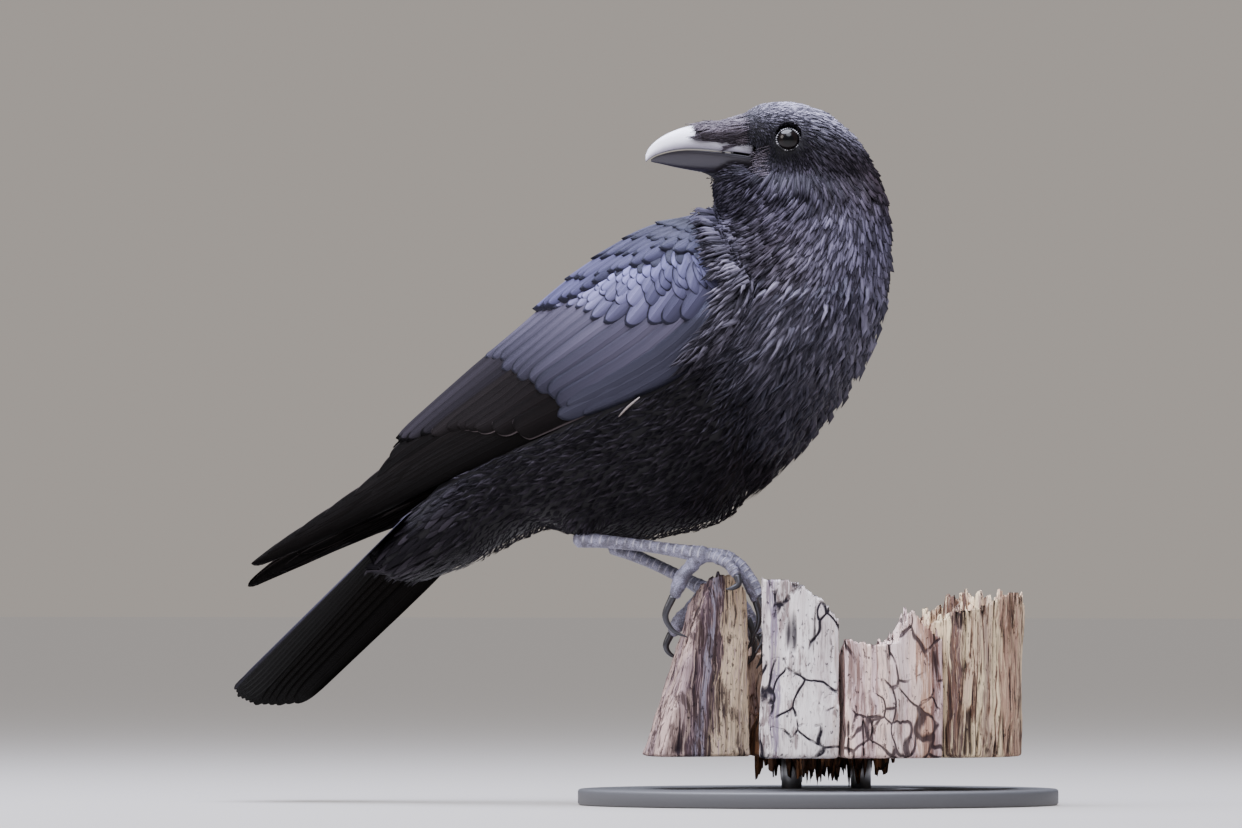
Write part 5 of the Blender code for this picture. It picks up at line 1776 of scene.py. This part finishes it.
def woodFinish(name, tones):
    look = Finish(name, tones["light"])
    place = look.place()
    # bent a little, so that no streak runs dead straight
    bend = look.vector("SUBTRACT", look.clouds(place, 22.0, 2.0, 0.5, "Color"), (0.5,) * 3)
    bent = look.vector("ADD", place, look.vector("MULTIPLY", bend, (0.010, 0.010, 0.03)))
    wild = look.vector("ADD", place, look.vector("MULTIPLY", bend, (0.05, 0.05, 0.05)))

    def fibres(long, scale, detail, rough=0.6, vector=bent, shift=(0, 0, 0)):
        # clouds drawn out along the trunk; a smaller long makes longer ones
        return look.clouds(look.stretched(vector, (1, 1, long), shift), scale, detail, rough)

    grain = fibres(0.06, 420.0, 6.0, 0.62)
    broad = fibres(0.10, 110.0, 4.0)
    fine = fibres(0.03, 1300.0, 3.0)
    pits = fibres(0.5, 620.0, 3.0, vector=place).between(0.62, 0.67)
    height = look.add("ShaderNodeSeparateXYZ", {0: place}, 2)
    across = look.add("ShaderNodeVectorMath", {0: bent, 1: tuple(acrossAxis)}, 1, operation="DOT_PRODUCT")
    across = (across - tones.get("lean", 0.0) * (height - 0.07)) * 1000
    across = across + (grain - 0.5) * 14 + (broad - 0.5) * 12
    blot = fibres(0.35, 95.0, 5.0, 0.65, shift=(0.3, 0.1, 0.2)).between(0.555, 0.60)
    hollow = look.attribute("crack").between(0.25, 0.85)
    base = look.mix(broad.between(0.44, 0.58), tones["light"], tones["grey"])
    for centre, half, colour, strength in tones["bands"]:
        band = abs(across - centre).between(half + 0.7, half - 0.7)
        base = look.mix(band * strength * fine.between(0.30, 0.50), base, colour)
    layers = [(grain.between(0.50, 0.58) * broad.between(0.36, 0.5) * tones["stain"], tones["streak"]),
              (grain.between(0.56, 0.62) * tones["stain"], tones["dark"]),
              (blot * fine.between(0.30, 0.55) * tones["blot"], tuple(c * 0.55 for c in tones["streak"])),
              (fine.between(0.50, 0.66) * 0.5, tones["streak"]),
              (hollow * 0.92, tones["dark"]), (pits * 0.75, tones["dark"])]
    relief = grain * 0.5 + fine * 0.3 - hollow * 1.0 - pits * 0.4
    if tones["crackle"]:
        line = look.cells(look.stretched(wild, (1, 1, 0.6)), 78.0).between(0.06, 0.02)
        line = line * look.clouds(bent, 38.0, 5.0, 0.6).between(0.44, 0.52)
        layers.append((line * tones["crackle"], tones["dark"]))
        relief = relief - line * 0.8
    for share, colour in layers:
        base = look.mix(share, base, colour)
    look.set({"Base Color": base, "Roughness": 0.78 + 0.15 * grain, "Specular IOR Level": 0.3,
              "Normal": look.bump(relief, 0.9, 0.0016)})
    return look.material


def weathered(mesh, seed, crackShare, splinters):
    # fibres, splits and a splintered top, as the wood has weathered
    form = perchForm
    places, outs = coords(mesh), normals(mesh)
    axis = np.array(onRidge(form["middle"], 0, 0))
    cracks = np.zeros(len(places))
    moved = places.copy()

    def rough(x, y, z):
        return noise.noise(Vector((x, y, z)))

    for i, ((x, y, z), out) in enumerate(zip((places - axis) / mm, outs)):
        around = math.atan2(y, x) * form["spread"]
        reach = math.hypot(x, y)
        fibre = rough(around * 0.55, reach * 0.4, z * 0.028 + seed)
        fibre += 0.5 * rough(around * 1.3, reach * 0.9, z * 0.05 - seed)
        lumps = rough(around * 0.07, reach * 0.07, z * 0.03 + seed)
        split = 1 - abs(rough(around * 0.30 + seed, reach * 0.03, z * 0.0045)) * 8
        split = max(0.0, split) * (1 - min(1.0, abs(out[2]) * 1.2))
        share = rough(around * 0.05, seed, z * 0.02) - 0.25 + crackShare
        split *= min(1.0, max(0.0, share * 6))
        push = form["grain"] * fibre + form["lumps"] * lumps - form["crackDepth"] * split
        moved[i] += np.array((out[0], out[1], 0)) * push
        if out[2] > 0.25 and z > form["lowestSplinter"]:
            cell = 0.6 * noise.cell(Vector((around * 0.42 + 50, reach * 0.5, seed)))
            cell += 0.4 * noise.cell(Vector((around * 0.2 + 9, reach * 0.2, seed + 4)))
            moved[i][2] += (cell - 0.78) * splinters * min(1, (out[2] - 0.25) * 2.5)
        cracks[i] = min(1.0, split * 1.3)
    setCoords(mesh, moved)
    setAttribute(mesh, "crack", "FLOAT", cracks)
    return mesh


def stave(name, node, seed, crackShare):
    mesh = softened(nodeMesh(node), 2, perchForm["voxel"])
    weathered(mesh, seed, crackShare, perchForm["gripHeight" if name == "gripped" else "splinterHeight"])
    piece("stave" + name.title(), mesh, woodFinish(name + "Wood", woodTones[name]), (node,))


stave("gripped", "perch_stave_gripped", 3, 0.45)
stave("white", "perch_stave_white", 11, 0.05)
stave("pink", "perch_stave_pink", 23, 0.15)
stave("right", "perch_stave_right", 31, 0.30)
stave("back", "perch_stave_back", 47, 0.3)
stave("heart", "perch_heart", 5, 0.5)
print("perch made")


# Display stand: round base with an eased edge, and two rods under the trunk

standForm = {"radius": 118 * mm, "height": 8 * mm, "ease": 1.4 * mm, "rodRadius": 5 * mm,
             "rodEase": 0.4 * mm}


def turnedMesh(name, centre, profile, count):
    # profile of (radius, height) from the axis at the bottom to the axis at the top
    return loft(name, [[centre + Vector((radius * cosine, radius * sine, height))
                        for cosine, sine in circle(count)] for radius, height in profile])


def standFinish():
    look = Finish("standPaint", (0.105, 0.105, 0.11))
    speck = look.clouds(look.place(), 900.0, 2.0)
    look.set({"Roughness": 0.46 + 0.12 * speck, "Normal": look.bump(speck, 0.12, 0.0002)})
    return look.material


def steelFinish():
    look = Finish("standSteel", (0.52, 0.52, 0.53))
    brushed = look.clouds(look.stretched(look.place(), (1, 1, 14)), 300.0, 3.0)
    look.set({"Metallic": 1.0, "Roughness": 0.28 + 0.18 * brushed})
    return look.material


def stand():
    r, h, e = standForm["radius"], standForm["height"], standForm["ease"]
    rim = [(r - e + e * math.sin(a), h - e + e * math.cos(a))
           for a in (math.radians(d) for d in (90, 67, 45, 22, 0))]
    foot = Vector((baseMiddle.x, baseMiddle.y, 0))
    profile = [(0.5 * mm, 0), (r - 1.0 * mm, 0), (r, 1.0 * mm)] + rim + [(0.5 * mm, h)]
    mesh = turnedMesh("standBase", foot, profile, 128)
    item = piece("standBase", mesh, standFinish(), ("stand_base",))
    item.data.polygons.foreach_set("use_smooth", [abs(p.normal.z) < 0.98 for p in item.data.polygons])
    steel = steelFinish()
    r, e = standForm["rodRadius"], standForm["rodEase"]
    for side in ("left", "right"):
        low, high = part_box("stand_rod_" + side)
        tall = high.z - low.z
        foot = Vector(((low.x + high.x) / 2, (low.y + high.y) / 2, low.z))
        profile = [(0.2 * mm, 0), (r - e, 0), (r, e), (r, tall - e), (r - e, tall), (0.2 * mm, tall)]
        mesh = turnedMesh("rod", foot, profile, 40)
        piece("standRod" + side.title(), mesh, steel, ("stand_rod_" + side,))


stand()
print("stand made")


# Floor, light and camera

stageForm = {
    "azimuth": 27, "elevation": -0.8, "distance": 6.0, "lens": 354, "target": (-34.8, -17.1, 192),
    "floor": (0.26, 0.25, 0.245), "floorGlow": 0.305,
    "backdrop": (0.40, 0.365, 0.335), "sky": (0.195, 0.20, 0.225),
}


def softLight(name, offset, size, power, tint):
    # offset from the aim in metres; the light looks at the aim
    data = bpy.data.lights.new(name, "AREA")
    data.shape = "DISK"
    data.size = size
    data.energy = power
    data.color = tint
    item = linked(name, data)
    item.location = at(*stageForm["target"]) + offset
    item.rotation_euler = (-offset).to_track_quat("-Z", "Y").to_euler()


def setStage():
    floorMesh = meshOf("floor", [(-30, -30, 0), (30, -30, 0), (30, 30, 0), (-30, 30, 0)], [(0, 1, 2, 3)])
    look = Finish("floorPaint", stageForm["floor"])
    look.set({"Roughness": 0.9, "Emission Color": (1.0, 0.92, 0.85),
              "Emission Strength": stageForm["floorGlow"]})
    floorMesh.materials.append(look.material)
    linked("floor", floorMesh)
    softLight("overheadLight", Vector((-0.25, -0.1, 1.6)), 1.9, 160, (0.80, 0.84, 1.0))
    softLight("skyLight", towardsAxis * 1.5 + acrossAxis * 0.2 + up * 1.9, 1.7, 50, (0.86, 0.88, 1.0))
    softLight("sideLight", towardsAxis * 0.9 - acrossAxis * 1.7 + up * 1.0, 1.0, 16, (1.0, 0.95, 0.9))
    world = bpy.data.worlds.new("studio")
    bpy.context.scene.world = world
    world.use_nodes = True
    # the backdrop is paler than the light it gives
    studio = Graph(world.node_tree)
    seen = studio.add("ShaderNodeLightPath", None, "Is Camera Ray")
    colour = studio.mix(seen, stageForm["sky"], stageForm["backdrop"])
    studio.plug(colour, world.node_tree.nodes["Background"].inputs["Color"])


def setCamera():
    a, e = math.radians(stageForm["azimuth"]), math.radians(stageForm["elevation"])
    away = Vector((math.sin(a) * math.cos(e), -math.cos(a) * math.cos(e), math.sin(e)))
    data = bpy.data.cameras.new("camera")
    data.lens = stageForm["lens"]
    data.sensor_width = 36
    data.clip_start, data.clip_end = 0.05, 60
    item = linked("camera", data)
    item.location = at(*stageForm["target"]) + away * stageForm["distance"]
    item.rotation_euler = (-away).to_track_quat("-Z", "Y").to_euler()
    bpy.context.scene.camera = item


setStage()
setCamera()
print("stage, lights and camera set")
